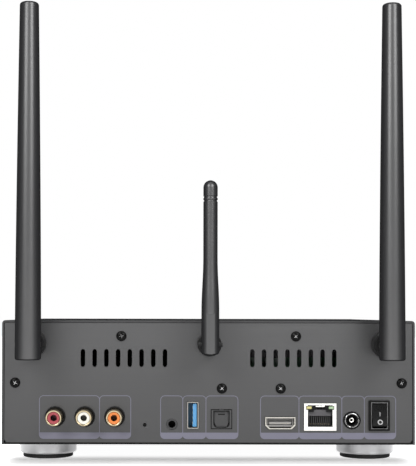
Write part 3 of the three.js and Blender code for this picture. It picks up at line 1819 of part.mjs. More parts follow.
piece("phono_block", makePhonoBlock(), blackPlastic, player);
phonoX.forEach((x, index) => {
  const colour = phonoNames[index];
  const sleeve = piece(`phono_sleeve_${colour}`, makePhonoSleeve(), goldPlate, player);
  sleeve.position.set(x, panelY, phonoZ);
  const insert = piece(`phono_insert_${colour}`, makePhonoInsert(), phonoPlastics[index], player);
  insert.position.set(x, panelY, phonoZ);
});
piece("ir_jack", makeIrJack(), blackPlastic, player);
piece("reset_plunger", makeResetPlunger(), blackPlastic, player);
piece("data_socket_shell", makeDataShell(), nickelPlate, player);
piece("data_socket_tongue", makeDataTongue(), bluePlastic, player);
piece("optical_housing", makeOpticalHousing(), blackPlastic, player);
piece("optical_shutter", makeOpticalShutter(), blackPlastic, player);
piece("video_socket_shell", makeVideoShell(), nickelPlate, player);
piece("video_socket_tongue", makeVideoTongue(), blackPlastic, player);
piece("network_socket_shield", makeNetworkShield(), nickelPlate, player);
piece("network_socket_insert", makeNetworkInsert(), blackPlastic, player);
piece("inlet_housing", makeInletHousing(), blackPlastic, player);
const barrel = piece("inlet_barrel", makeInletBarrel(), nickelPlate, player);
barrel.position.set(inletX, panelY, inletZ);

piece("switch_housing", makeSwitchHousing(), blackPlastic, player);
const rockerSeat = new THREE.Group();
rockerSeat.position.set(switchX, rockerPivotY(), switchZ);
rockerSeat.rotation.x = rockerTiltDegrees * degree;
player.add(rockerSeat);
piece("switch_rocker", makeRocker(), blackPlastic, rockerSeat);

const tray = new THREE.Group();
player.add(tray);
piece("tray_sled", makeSled(), zincSteel, tray);
piece("hard_drive", makeDrive(), castAluminium, tray);
piece("tray_front", makeTrayFront(), blackAluminium, tray);
const lever = piece("tray_lever", makeLever(), paleAluminium, tray);
lever.position.set(leverPivotX(), leverPivotY(), leverZ);
piece("tray_latch_button", makeLatchButton(), paleAluminium, tray);

const antennaPlaces = [
  ["right", sideAntennaX, sideAntenna, makeSideWhip],
  ["centre", 0, centreAntenna, makeCentreWhip],
  ["left", -sideAntennaX, sideAntenna, makeSideWhip],
];
for (const [where, x, size, makeWhip] of antennaPlaces) {
  const socket = piece(`antenna_jack_${where}`, makeJack(), goldPlate, player);
  socket.position.set(x, panelY, antennaZ);
  const hinge = new THREE.Group();
  hinge.position.set(x, panelY + hingeReach, antennaZ);
  player.add(hinge);
  piece(`antenna_knuckle_${where}`, makeKnuckle(size), antennaPlastic, hinge);
  piece(`antenna_whip_${where}`, makeWhip(), antennaPlastic, hinge);
}

const group = new THREE.Group();
group.add(player);

export default group;
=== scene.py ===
"""Looks of a desktop media player with a hard drive tray, laid out as a Blender add-on."""
import json
import math

import bpy
from bpy.props import FloatProperty, FloatVectorProperty, PointerProperty
from mathutils import Matrix, Vector


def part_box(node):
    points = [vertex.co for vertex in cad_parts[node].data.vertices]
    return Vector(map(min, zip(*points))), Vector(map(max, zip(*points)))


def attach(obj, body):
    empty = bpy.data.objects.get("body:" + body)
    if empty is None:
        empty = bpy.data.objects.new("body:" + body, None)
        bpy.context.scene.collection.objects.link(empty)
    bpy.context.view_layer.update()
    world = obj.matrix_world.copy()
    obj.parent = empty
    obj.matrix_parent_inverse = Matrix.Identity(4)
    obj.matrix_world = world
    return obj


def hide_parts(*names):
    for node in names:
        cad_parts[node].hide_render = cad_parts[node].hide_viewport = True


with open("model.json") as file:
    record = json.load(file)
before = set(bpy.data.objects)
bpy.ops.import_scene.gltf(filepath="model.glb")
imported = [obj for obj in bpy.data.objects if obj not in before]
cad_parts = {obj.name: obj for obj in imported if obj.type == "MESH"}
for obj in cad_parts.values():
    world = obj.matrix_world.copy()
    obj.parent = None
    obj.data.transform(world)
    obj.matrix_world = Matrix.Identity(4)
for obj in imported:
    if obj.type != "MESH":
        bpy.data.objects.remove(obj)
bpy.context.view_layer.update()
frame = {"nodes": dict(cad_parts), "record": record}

bl_info = {
    "name": "Media player looks",
    "version": (1, 0, 0),
    "blender": (4, 5, 0),
    "location": "View3D > Sidebar > Player",
    "description": "Dresses the packed media player with detailed pieces and finishes",
    "category": "Object",
}

MM = 0.001
ORIGIN = (0, 0, 0)
BACK = (-math.pi / 2, 0, 0)  # turns a piece made along +Z to stand out of the rear panel
NEW_SMOOTH = 32  # degrees under which an edge between faces is shaded smooth
CAD_SMOOTH = 28
THINNEST = 1e-3  # the radius, in millimetres, that stands for a point on the axis


def corners(node):
    """The lowest and highest corners of a node's box, in millimetres."""
    return [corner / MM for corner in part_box(node)]


def middle(node):
    low, high = corners(node)
    return (low + high) / 2


PANEL = corners("rear_panel")[1].y


def on_panel(node):
    """The point of the rear panel's outer face that lies straight behind a node's middle."""
    return Vector((middle(node).x, PANEL, middle(node).z))


# Sizes and colours

def millimetres(name, description, default):
    return FloatProperty(name=name, description=description, default=default * MM,
                         unit="LENGTH", subtype="DISTANCE", precision=5)


def colour(name, description, default):
    return FloatVectorProperty(name=name, description=description, default=default,
                               size=3, min=0, max=1, subtype="COLOR")


class PlayerSizes(bpy.types.PropertyGroup):
    foot_radius: millimetres("Foot radius", "Radius of each metal foot", 14.6)
    pad_radius: millimetres("Pad radius", "Radius of the rubber pad under a foot", 12.8)
    screw_radius: millimetres("Screw head radius", "Radius of a rear screw's head", 2.55)
    sleeve_radius: millimetres("Sleeve radius", "Outer radius of a plated phono sleeve", 4.15)
    whip_radius: millimetres("Whip radius", "Radius of a side antenna at its lower end", 6.3)
    whip_tip: millimetres("Whip tip radius", "Radius of a side antenna at its top", 4.6)
    print_line: millimetres("Printed line", "Width of the lines printed round the sockets", 0.36)


class PlayerColours(bpy.types.PropertyGroup):
    cover: colour("Cover", "Paint of the folded cover", (0.02, 0.02, 0.021))
    panel: colour("Rear panel", "Paint of the connector panel", (0.06, 0.06, 0.061))
    antenna: colour("Antennas", "Moulded plastic of the antennas", (0.02, 0.02, 0.021))
    prints: colour("Printed frames", "Ink of the frames round the sockets", (0.118, 0.116, 0.152))
    floor: colour("Floor", "Colour of the floor and backdrop", (0.55, 0.55, 0.55))


# Shader node groups

def add_node(tree, kind, links=(), **values):
    """Adds a node, sets its plain values and links the given sources to its inputs."""
    node = tree.nodes.new(kind)
    for key, value in values.items():
        setattr(node, key, value)
    for slot, source in links:
        if isinstance(source, bpy.types.NodeSocket):
            tree.links.new(source, node.inputs[slot])
        else:
            node.inputs[slot].default_value = source
    return node


def math_node(tree, operation, *inputs, clamp=False):
    """Adds a math node on up to three values and returns its result."""
    return add_node(tree, "ShaderNodeMath", enumerate(inputs), operation=operation,
                    use_clamp=clamp).outputs[0]


def scaled(tree, tint, factor):
    """Multiplies a colour by a value."""
    return add_node(tree, "ShaderNodeVectorMath", [(0, tint), (3, factor)],
                    operation="SCALE").outputs[0]


def map_range(tree, value, source, target, interpolation="LINEAR"):
    """Carries a value from one span of numbers over to another, and holds it at the ends."""
    limits = zip(("From Min", "From Max", "To Min", "To Max"), (*source, *target))
    return add_node(tree, "ShaderNodeMapRange", [("Value", value), *limits],
                    interpolation_type=interpolation).outputs[0]


def object_place(tree):
    return add_node(tree, "ShaderNodeTexCoord").outputs["Object"]


def object_axes(tree):
    """The X, Y and Z of an object's own coordinates."""
    return add_node(tree, "ShaderNodeSeparateXYZ", [("Vector", object_place(tree))]).outputs


def noise(tree, place, **values):
    """The value of a noise texture with the given settings."""
    return add_node(tree, "ShaderNodeTexNoise", [("Vector", place), *values.items()]).outputs["Fac"]


def grain(tree, place, scale):
    """A fine moulded or sprayed grain with slow blotches."""
    fine = noise(tree, place, Scale=scale, Detail=3.0)
    slow = noise(tree, place, Scale=22.0, Detail=4.0)
    return math_node(tree, "SUBTRACT", math_node(tree, "ADD", fine, slow), 1.0), fine


def scratches(tree, place, stretch):
    """Long fine lines along X, Y or Z, set by how the stretch squeezes the noise."""
    squeezed = add_node(tree, "ShaderNodeVectorMath", [(0, place), (1, stretch)],
                        operation="MULTIPLY")
    drawn = noise(tree, squeezed.outputs[0], Scale=1.0, Detail=5.0, Roughness=0.65)
    return math_node(tree, "SUBTRACT", drawn, 0.5), drawn


def surface_group(name, size, pattern, rough_swing, relief_depth):
    """A group that lets a pattern vary a base colour, a roughness and the normal."""
    group = bpy.data.node_groups.new(name, "ShaderNodeTree")
    for label, kind, default in (
        ("Base", "NodeSocketColor", (0.5, 0.5, 0.5, 1)), size,
        ("Contrast", "NodeSocketFloat", 0.1), ("Roughness", "NodeSocketFloat", 0.5),
        ("Relief", "NodeSocketFloat", 0.1),
    ):
        socket = group.interface.new_socket(label, in_out="INPUT", socket_type=kind)
        socket.default_value = default
    for label, kind in (("Color", "NodeSocketColor"), ("Roughness", "NodeSocketFloat"),
                        ("Normal", "NodeSocketVector")):
        group.interface.new_socket(label, in_out="OUTPUT", socket_type=kind)
    start = group.nodes.new("NodeGroupInput").outputs
    end = group.nodes.new("NodeGroupOutput").inputs
    centred, height = pattern(group, object_place(group), start[size[0]])
    swing = math_node(group, "MULTIPLY_ADD", centred, start["Contrast"], 1.0)
    rough = math_node(group, "MULTIPLY_ADD", centred, rough_swing, start["Roughness"], clamp=True)
    bump = add_node(group, "ShaderNodeBump",
                    [("Height", height), ("Strength", start["Relief"]), ("Distance", relief_depth)])
    group.links.new(scaled(group, start["Base"], swing), end["Color"])
    group.links.new(rough, end["Roughness"])
    group.links.new(bump.outputs[0], end["Normal"])
    return group


GRAIN = surface_group("Grain and blotches", ("Scale", "NodeSocketFloat", 900.0), grain,
                      0.12, 0.00006)
BRUSHED = surface_group("Brushed lines", ("Stretch", "NodeSocketVector", (20.0, 2000.0, 2000.0)),
                        scratches, 0.25, 0.00005)


# Materials

def shader_inputs(material):
    return material.node_tree.nodes["Principled BSDF"].inputs


def start_material(name, **values):
    """A material with its tree and the inputs of its shader, set to the given values."""
    material = bpy.data.materials.new(name)
    material.use_nodes = True
    inputs = shader_inputs(material)
    for label, value in values.items():
        inputs[label.replace("_", " ")].default_value = value
    return material, material.node_tree, inputs


def surfaced(name, base, roughness, metallic, size, contrast, relief, specular=0.5):
    """A material with the grain group or the brushed one: a single size is the scale of a
    grain, and three are the squeeze of brushed lines along X, Y and Z."""
    material, tree, inputs = start_material(name, Metallic=metallic, Specular_IOR_Level=specular)
    node = tree.nodes.new("ShaderNodeGroup")
    node.node_tree = BRUSHED if isinstance(size, tuple) else GRAIN
    for socket, value in zip(node.inputs, ((*base, 1), size, contrast, roughness, relief)):
        socket.default_value = value
    for label, target in (("Color", "Base Color"), ("Roughness", "Roughness"), ("Normal", "Normal")):
        tree.links.new(node.outputs[label], inputs[target])
    return material


def board_material():
    """Green solder mask with copper tracks under it, drawn by a squared off pattern."""
    material, tree, inputs = start_material("Green circuit board", Roughness=0.4, Coat_Weight=0.3,
                                            Coat_Roughness=0.08)
    place = object_place(tree)
    tracks = add_node(tree, "ShaderNodeTexBrick",
                      [("Vector", place), ("Scale", 260.0),
                       ("Color1", (0.012, 0.085, 0.035, 1)), ("Color2", (0.018, 0.1, 0.045, 1)),
                       ("Mortar", (0.05, 0.19, 0.08, 1)), ("Mortar Size", 0.03)])
    spots = add_node(tree, "ShaderNodeTexVoronoi", [("Vector", place), ("Scale", 330.0)])
    pads = math_node(tree, "LESS_THAN", spots.outputs["Distance"], 0.16)
    mix = add_node(tree, "ShaderNodeMix", [("Factor", pads)], data_type="RGBA")
    tree.links.new(tracks.outputs["Color"], mix.inputs["A"])
    mix.inputs["B"].default_value = (0.45, 0.43, 0.4, 1)
    tree.links.new(mix.outputs["Result"], inputs["Base Color"])
    return material


def fade_gloss(material, near, far, gloss):
    """Lets the gloss fade between two amounts of turning away from the eye."""
    tree = material.node_tree
    facing = add_node(tree, "ShaderNodeLayerWeight", [("Blend", 0.5)]).outputs["Facing"]
    tree.links.new(map_range(tree, facing, (near, far), (gloss, 1.0)), shader_inputs(material)["IOR"])
    return material


def antenna_material(base):
    """Dark grained plastic with a satin gloss."""
    return fade_gloss(surfaced("Antenna plastic", base, 0.31, 0.0, 1900, 0.12, 0.1), 0.0, 0.38, 1.75)


def cover_material(base):
    """Satin paint whose gloss fades where it is seen along the surface."""
    return fade_gloss(surfaced("Satin cover paint", base, 0.42, 0.0, 1500, 0.1, 0.1), 0.3, 0.85, 1.5)


def foot_material():
    """Metal turned on a lathe, whose fine rings draw its reflections out up and down."""
    material = surfaced("Satin foot metal", (0.6, 0.6, 0.61), 0.36, 1.0, (500.0, 500.0, 3800.0),
                        0.1, 0.05)
    inputs = shader_inputs(material)
    inputs["Anisotropic"].default_value = 0.95
    inputs["Anisotropic Rotation"].default_value = 0.25
    around = add_node(material.node_tree, "ShaderNodeTangent", direction_type="RADIAL", axis="Z")
    material.node_tree.links.new(around.outputs[0], inputs["Tangent"])
    return material


def panel_material(base):
    """Satin grey paint with painted light, which makes it a little paler toward the panel's upper
    edge.
    """
    material = surfaced("Grey panel paint", base, 0.36, 0.55, (14.0, 900.0, 1500.0), 0.12, 0.05)
    tree = material.node_tree
    target = shader_inputs(material)["Base Color"]
    drawn = target.links[0].from_socket
    # Painted light: the colour is scaled up with height, so the panel reads lighter at the top as if
    # lit from above.
    rise = map_range(tree, object_axes(tree)["Z"], (0.012, 0.066), (0.86, 1.22))
    tree.links.new(scaled(tree, drawn, rise), target)
    return material


# Name, colour, roughness, share of metal, size, contrast and relief of the surface, and the
# specular level where it is lowered.
LOOKS = {
    "front": ("Dark brushed aluminium", (0.028, 0.028, 0.03), 0.34, 0.85, (12.0, 1500.0, 1500.0),
              0.3, 0.08),
    "sink": ("Satin heat sink", (0.5, 0.51, 0.52), 0.36, 1.0, (1500.0, 20.0, 1500.0), 0.25, 0.12),
    "lever": ("Satin lever aluminium", (0.15, 0.15, 0.155), 0.34, 1.0, (16.0, 1500.0, 1500.0),
              0.25, 0.12),
    "button": ("Turned button metal", (0.24, 0.24, 0.245), 0.28, 1.0, (2600.0, 2600.0, 40.0),
               0.5, 0.12),
    "rubber": ("Matt rubber", (0.03, 0.03, 0.03), 0.78, 0.0, 1400, 0.2, 0.3, 0.2),
    "screw": ("Black oxide steel", (0.004, 0.004, 0.004), 0.18, 0.0, 1800, 0.3, 0.06, 0.06),
    "recess": ("Worn screw recess", (0.45, 0.45, 0.45), 0.25, 1.0, 1500, 3.0, 0.1),
    "zinc": ("Zinc plated sheet", (0.26, 0.265, 0.27), 0.34, 1.0, 260, 0.3, 0.05),
    "casting": ("Cast aluminium", (0.17, 0.17, 0.175), 0.5, 0.85, 1300, 0.2, 0.25),
    "black": ("Black moulded plastic", (0.008, 0.008, 0.008), 0.42, 0.0, 1700, 0.2, 0.12, 0.07),
    "socket": ("Socket plastic", (0.046, 0.046, 0.047), 0.55, 0.0, 1700, 0.12, 0.08, 0.25),
    "shelf": ("Shelf plastic", (0.078, 0.076, 0.08), 0.5, 0.0, 1700, 0.12, 0.08, 0.25),
    "pale socket": ("Pale socket plastic", (0.24, 0.235, 0.23), 0.5, 0.0, 1700, 0.1, 0.08),
    "line": ("Dark seam", (0.006, 0.006, 0.006), 0.7, 0.0, 1700, 0.1, 0.05, 0.1),
    "rocker": ("Rocker plastic", (0.011, 0.011, 0.011), 0.3, 0.0, 1700, 0.15, 0.05, 0.03),
    "knuckle": ("Knuckle plastic", (0.012, 0.012, 0.012), 0.42, 0.0, 1900, 0.15, 0.1, 0.1),
    "gold": ("Gold plating", (0.42, 0.35, 0.23), 0.24, 1.0, 900, 0.08, 0.04),
    "nickel": ("Nickel plating", (0.68, 0.67, 0.64), 0.22, 1.0, 700, 0.1, 0.04),
    "warm nickel": ("Warm nickel plating", (0.44, 0.425, 0.385), 0.25, 1.0, 700, 0.15, 0.05),
    "dull nickel": ("Dull nickel plating", (0.3, 0.29, 0.27), 0.3, 1.0, 700, 0.2, 0.05),
    "chrome": ("Bright plating", (0.26, 0.26, 0.26), 0.12, 1.0, 620, 4.2, 0.05),
    "blue": ("Blue plastic", (0.07, 0.24, 0.45), 0.4, 0.0, 1500, 0.08, 0.08),
    "red": ("Red plastic", (0.27, 0.035, 0.045), 0.44, 0.0, 1500, 0.1, 0.08),
    "white": ("White plastic", (0.66, 0.64, 0.58), 0.42, 0.0, 1500, 0.05, 0.06),
    "orange": ("Orange plastic", (0.56, 0.16, 0.03), 0.44, 0.0, 1500, 0.08, 0.08),
    "window": ("Smoked window", (0.004, 0.004, 0.005), 0.06, 0.0, 600, 0.1, 0.01, 0.08),
    "mark": ("White marking", (0.3, 0.3, 0.3), 0.55, 0.0, 2400, 0.05, 0.05),
    # painted highlight on the rocker bezel's rounded inner edge
    "bezel highlight": ("Painted bezel edge highlight", (0.16, 0.16, 0.16), 0.5, 0.0, 2400, 0.1, 0.05),
    "yellow lamp": ("Yellow lamp", (0.44, 0.4, 0.16), 0.3, 0.0, 1500, 1.2, 0.03),
    "green lamp": ("Green lamp", (0.31, 0.42, 0.26), 0.3, 0.0, 1500, 1.2, 0.03),
}
FINISHES = {}

# The finishes that go by each slot of the record. The first one is the slot's own.
SLOTS = {
    "cover_paint": ("cover",), "panel_paint": ("panel",), "front_aluminium": ("front",),
    "foot_metal": ("foot",), "foot_rubber": ("rubber",), "screw_steel": ("screw", "recess"),
    "board_green": ("board",), "sink_aluminium": ("sink",), "zinc_steel": ("zinc",),
    "drive_casting": ("casting",), "lever_aluminium": ("lever",), "button_metal": ("button",),
    "black_plastic": ("black", "socket", "shelf", "pale socket", "line", "rocker", "bezel highlight"),
    "antenna_plastic": ("antenna", "knuckle"), "gold_plate": ("gold",),
    "nickel_plate": ("nickel", "warm nickel", "dull nickel", "chrome"),
    "blue_plastic": ("blue",), "red_plastic": ("red",), "orange_plastic": ("orange",),
    "white_plastic": ("white", "ink", "mark", "yellow lamp", "green lamp"),
    "window_plastic": ("window",),
}


# Modelling helpers. Sizes are in millimetres, and every piece is first made about its own origin.

def clear_selection():
    if bpy.context.object and bpy.context.object.mode != "OBJECT":
        bpy.ops.object.mode_set(mode="OBJECT")
    bpy.ops.object.select_all(action="DESELECT")


def edit_all():
    bpy.ops.object.mode_set(mode="EDIT")
    bpy.ops.mesh.select_all(action="SELECT")


def only(piece):
    clear_selection()
    piece.select_set(True)
    bpy.context.view_layer.objects.active = piece


def turned(profile, sides=48, ring=False):
    """Turns a profile of (radius, height) pairs about Z, ring by ring in edit mode.
    A ring comes back to its first pair, and any other profile is closed at both ends."""
    clear_selection()
    radius, height = profile[0]
    radius = max(radius, THINNEST)
    bpy.ops.mesh.primitive_circle_add(vertices=sides, radius=radius * MM, fill_type="NOTHING",
                                      location=(0, 0, height * MM))
    piece = bpy.context.object
    edit_all()
    if not ring:
        bpy.ops.mesh.edge_face_add()
        bpy.ops.mesh.select_all(action="SELECT")
    for next_radius, next_height in profile[1:]:
        next_radius = max(next_radius, THINNEST)
        bpy.ops.mesh.extrude_region_move()
        bpy.ops.transform.translate(value=(0, 0, (next_height - height) * MM))
        share = next_radius / radius
        bpy.ops.transform.resize(value=(share, share, 1), center_override=ORIGIN)
        radius, height = next_radius, next_height
    bpy.ops.mesh.select_all(action="SELECT")
    bpy.ops.mesh.remove_doubles(threshold=3 * THINNEST * MM)
    bpy.ops.mesh.normals_make_consistent(inside=False)
    bpy.ops.object.mode_set(mode="OBJECT")
    return piece


def block(low, high, bevel=0.0, segments=2):
    """A rectangular piece between two corners, with its edges rounded off."""
    clear_selection()
    size = [b - a for a, b in zip(low, high)]
    centre = [(a + b) / 2 * MM for a, b in zip(low, high)]
    bpy.ops.mesh.primitive_cube_add(size=MM, location=centre)
    piece = bpy.context.object
    edit_all()
    bpy.ops.transform.resize(value=size, center_override=centre)
    if bevel:
        bpy.ops.mesh.bevel(offset=bevel * MM, segments=segments, affect="EDGES")
    bpy.ops.object.mode_set(mode="OBJECT")
    return piece


def rod(radius, low, high, axis="Z", sides=32, bevel=0.0):
    """A round bar about one axis through the origin, with its ends softened."""
    clear_selection()
    turn = {"X": (0, math.pi / 2, 0), "Y": BACK, "Z": ORIGIN}[axis]
    step = Vector([float(axis == other) for other in "XYZ"])
    bpy.ops.mesh.primitive_cylinder_add(vertices=sides, radius=radius * MM, depth=(high - low) * MM,
                                        location=step * (low + high) / 2 * MM, rotation=turn)
    piece = bpy.context.object
    if bevel:
        round_edges(piece, lambda a, b: abs((a - b).dot(step)) < 1e-3, bevel)
    return piece


def round_edges(piece, chosen, width, segments=2):
    """Rounds the edges whose two ends, in millimetres, pass the test."""
    apply_transform(piece)
    bpy.context.tool_settings.mesh_select_mode = (False, True, False)
    bpy.ops.object.mode_set(mode="EDIT")
    bpy.ops.mesh.select_all(action="DESELECT")
    bpy.ops.object.mode_set(mode="OBJECT")
    for edge in piece.data.edges:
        edge.select = chosen(*[piece.data.vertices[index].co / MM for index in edge.vertices])
    bpy.ops.object.mode_set(mode="EDIT")
    bpy.ops.mesh.bevel(offset=width * MM, segments=segments, affect="EDGES")
    bpy.ops.object.mode_set(mode="OBJECT")
    bpy.context.tool_settings.mesh_select_mode = (True, False, False)
    return piece


def carve(piece, *cutters, operation="DIFFERENCE"):
    """Takes each cutter's shape out of a piece, or fuses it on, and removes the cutter."""
    for cutter in cutters:
        apply_transform(cutter)
        modifier = piece.modifiers.new("Carve", "BOOLEAN")
        modifier.operation = operation
        modifier.solver = "EXACT"
        modifier.object = cutter
        only(piece)
        bpy.ops.object.modifier_apply(modifier=modifier.name)
        bpy.data.objects.remove(cutter)
    return piece


def soften(piece, width, segments=2, angle=35.0):
    """Rounds a piece's sharp edges with a bevel that is applied."""
    modifier = piece.modifiers.new("Soft edges", "BEVEL")
    modifier.width = width * MM
    modifier.segments = segments
    modifier.limit_method = "ANGLE"
    modifier.angle_limit = math.radians(angle)
    only(piece)
    bpy.ops.object.modifier_apply(modifier=modifier.name)
    return piece


def apply_transform(piece):
    only(piece)
    bpy.ops.object.transform_apply(location=True, rotation=True, scale=True)


def joined(*pieces):
    """Joins pieces into one, each already in its place."""
    for piece in pieces:
        apply_transform(piece)
    clear_selection()
    for piece in pieces:
        piece.select_set(True)
    bpy.context.view_layer.objects.active = pieces[0]
    bpy.ops.object.join()
    return pieces[0]


def placed(piece, at, turn=ORIGIN):
    """Moves a piece made about the origin to its place in the player."""
    apply_transform(piece)
    piece.rotation_euler = turn
    piece.location = Vector(at) * MM
    apply_transform(piece)
    return piece


def copied(piece):
    twin = piece.copy()
    twin.data = piece.data.copy()
    bpy.context.scene.collection.objects.link(twin)
    return twin


def in_row(piece, count, step):
    """Copies a piece into an even row about its own place, and joins the copies."""
    copies = []
    for index in range(count):
        share = index - (count - 1) / 2
        copies.append(placed(copied(piece), [length * share for length in step]))
    discard(piece)
    return joined(*copies)


def discard(*pieces):
    for piece in pieces:
        bpy.data.objects.remove(piece)


def done(piece, name, look, at=ORIGIN, turn=ORIGIN, node=None, body="chassis",
         smooth=True):
    """Places, names, shades and dresses a finished piece, and hangs it on its body. The node
    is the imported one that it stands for, if there is one."""
    placed(piece, at, turn)
    piece.name = name
    piece.data.name = name
    if smooth:
        bpy.ops.object.shade_smooth_by_angle(angle=math.radians(NEW_SMOOTH))
        modifier = piece.modifiers.new("Flat faces stay flat", "WEIGHTED_NORMAL")
        modifier.keep_sharp = True
        bpy.ops.object.modifier_apply(modifier=modifier.name)
    piece.data.materials.clear()
    piece.data.materials.append(FINISHES[look])
    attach(piece, body)
    if node:
        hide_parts(node)
    return piece


def arc(radius, height, across, up, steps):
    """A quarter arc of (radius, height) pairs about a point, from beside it to above it."""
    points = []
    for step in range(steps + 1):
        angle = math.pi / 2 * step / steps
        points.append((radius + across * math.cos(angle), height + up * math.sin(angle)))
    return points


def patch(x0, x1, z0, z1, corner, low, high):
    """A flat filled patch on the panel with rounded corners, from depth low to high."""
    clear_selection()
    centre = Vector(((x0 + x1) / 2, low, (z0 + z1) / 2)) * MM
    bpy.ops.mesh.primitive_plane_add(size=MM, location=centre, rotation=BACK)
    piece = bpy.context.object
    apply_transform(piece)
    edit_all()
    bpy.ops.transform.resize(value=(x1 - x0, 1, z1 - z0), center_override=centre)
    bpy.ops.mesh.bevel(offset=corner * MM, segments=5, affect="VERTICES")
    bpy.ops.mesh.select_all(action="SELECT")
    bpy.ops.mesh.extrude_region_move(TRANSFORM_OT_translate={"value": (0, (high - low) * MM, 0)})
    bpy.ops.mesh.select_all(action="SELECT")
    bpy.ops.mesh.normals_make_consistent(inside=False)
    bpy.ops.object.mode_set(mode="OBJECT")
    return piece


# Operators, one for each group of pieces

class PlayerOperator:
    bl_options = {"REGISTER", "UNDO"}

    @property
    def sizes(self):
        return bpy.context.scene.player_sizes

    @property
    def colours(self):
        return bpy.context.scene.player_colours


class PLAYER_OT_finishes(PlayerOperator, bpy.types.Operator):
    """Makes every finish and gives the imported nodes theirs"""
    bl_idname = "player.finishes"
    bl_label = "Make finishes"

    def execute(self, context):
        colours = self.colours
        FINISHES.update({
            "cover": cover_material(colours.cover),
            "panel": panel_material(colours.panel),
            "foot": foot_material(),
            "board": board_material(),
            "antenna": antenna_material(colours.antenna),
            "ink": surfaced("Printed ink", colours.prints, 0.6, 0.0, 2400, 0.12, 0.05),
        })
        FINISHES.update({look: surfaced(*values) for look, values in LOOKS.items()})
        special = {
            "optical_housing": "socket", "optical_shutter": "socket", "base_plate": "black",
            "hard_drive": "casting", "data_socket_shell": "dull nickel",
            "video_socket_shell": "warm nickel",
        }
        for part in frame["record"]["subparts"]:
            name = part["node"]
            node = frame["nodes"][name]
            look = special.get(name, SLOTS[part["material_slot"]][0])
            node.data.materials.clear()
            node.data.materials.append(FINISHES[look])
            only(node)
            bpy.ops.object.shade_smooth_by_angle(angle=math.radians(CAD_SMOOTH))
        return {"FINISHED"}


# The camera as it was fitted to the photograph: its focal length and shifts in the photograph's
# pixels, its place in millimetres and its turns in degrees. The lamps and cards are in metres.
PHOTO_HEIGHT = 466
FOCAL = 1157.3
SHIFT = (36.0, 60.0)
SENSOR = 36
CAMERA_PLACE = (22.4, 662.2, 73.3)
PITCH, YAW, ROLL = 1.03, 0.41, 0.13
# Name, place, aim, width, height and power of each lamp
LAMPS = (
    ("left strip", (0.47, 0.8, 0.62), (0.06, 0.1, 0.17), 0.42, 0.6, 7.4),
    ("right strip", (-0.47, 0.8, 0.62), (-0.06, 0.1, 0.17), 0.42, 0.6, 7.4),
    ("top lamp", (0.0, 0.25, 1.3), (0, 0, 0.05), 0.9, 0.7, 7.0),
    ("front lamp", (0.3, -1.1, 0.7), (0, -0.05, 0.05), 0.8, 0.8, 6.0),
)
FLOOR_SIZE = 6
CARD_SIZE = 1.6
CARD_PLACE = (1.0, 0.15, 0.8)
WHITE = (1, 1, 1, 1)


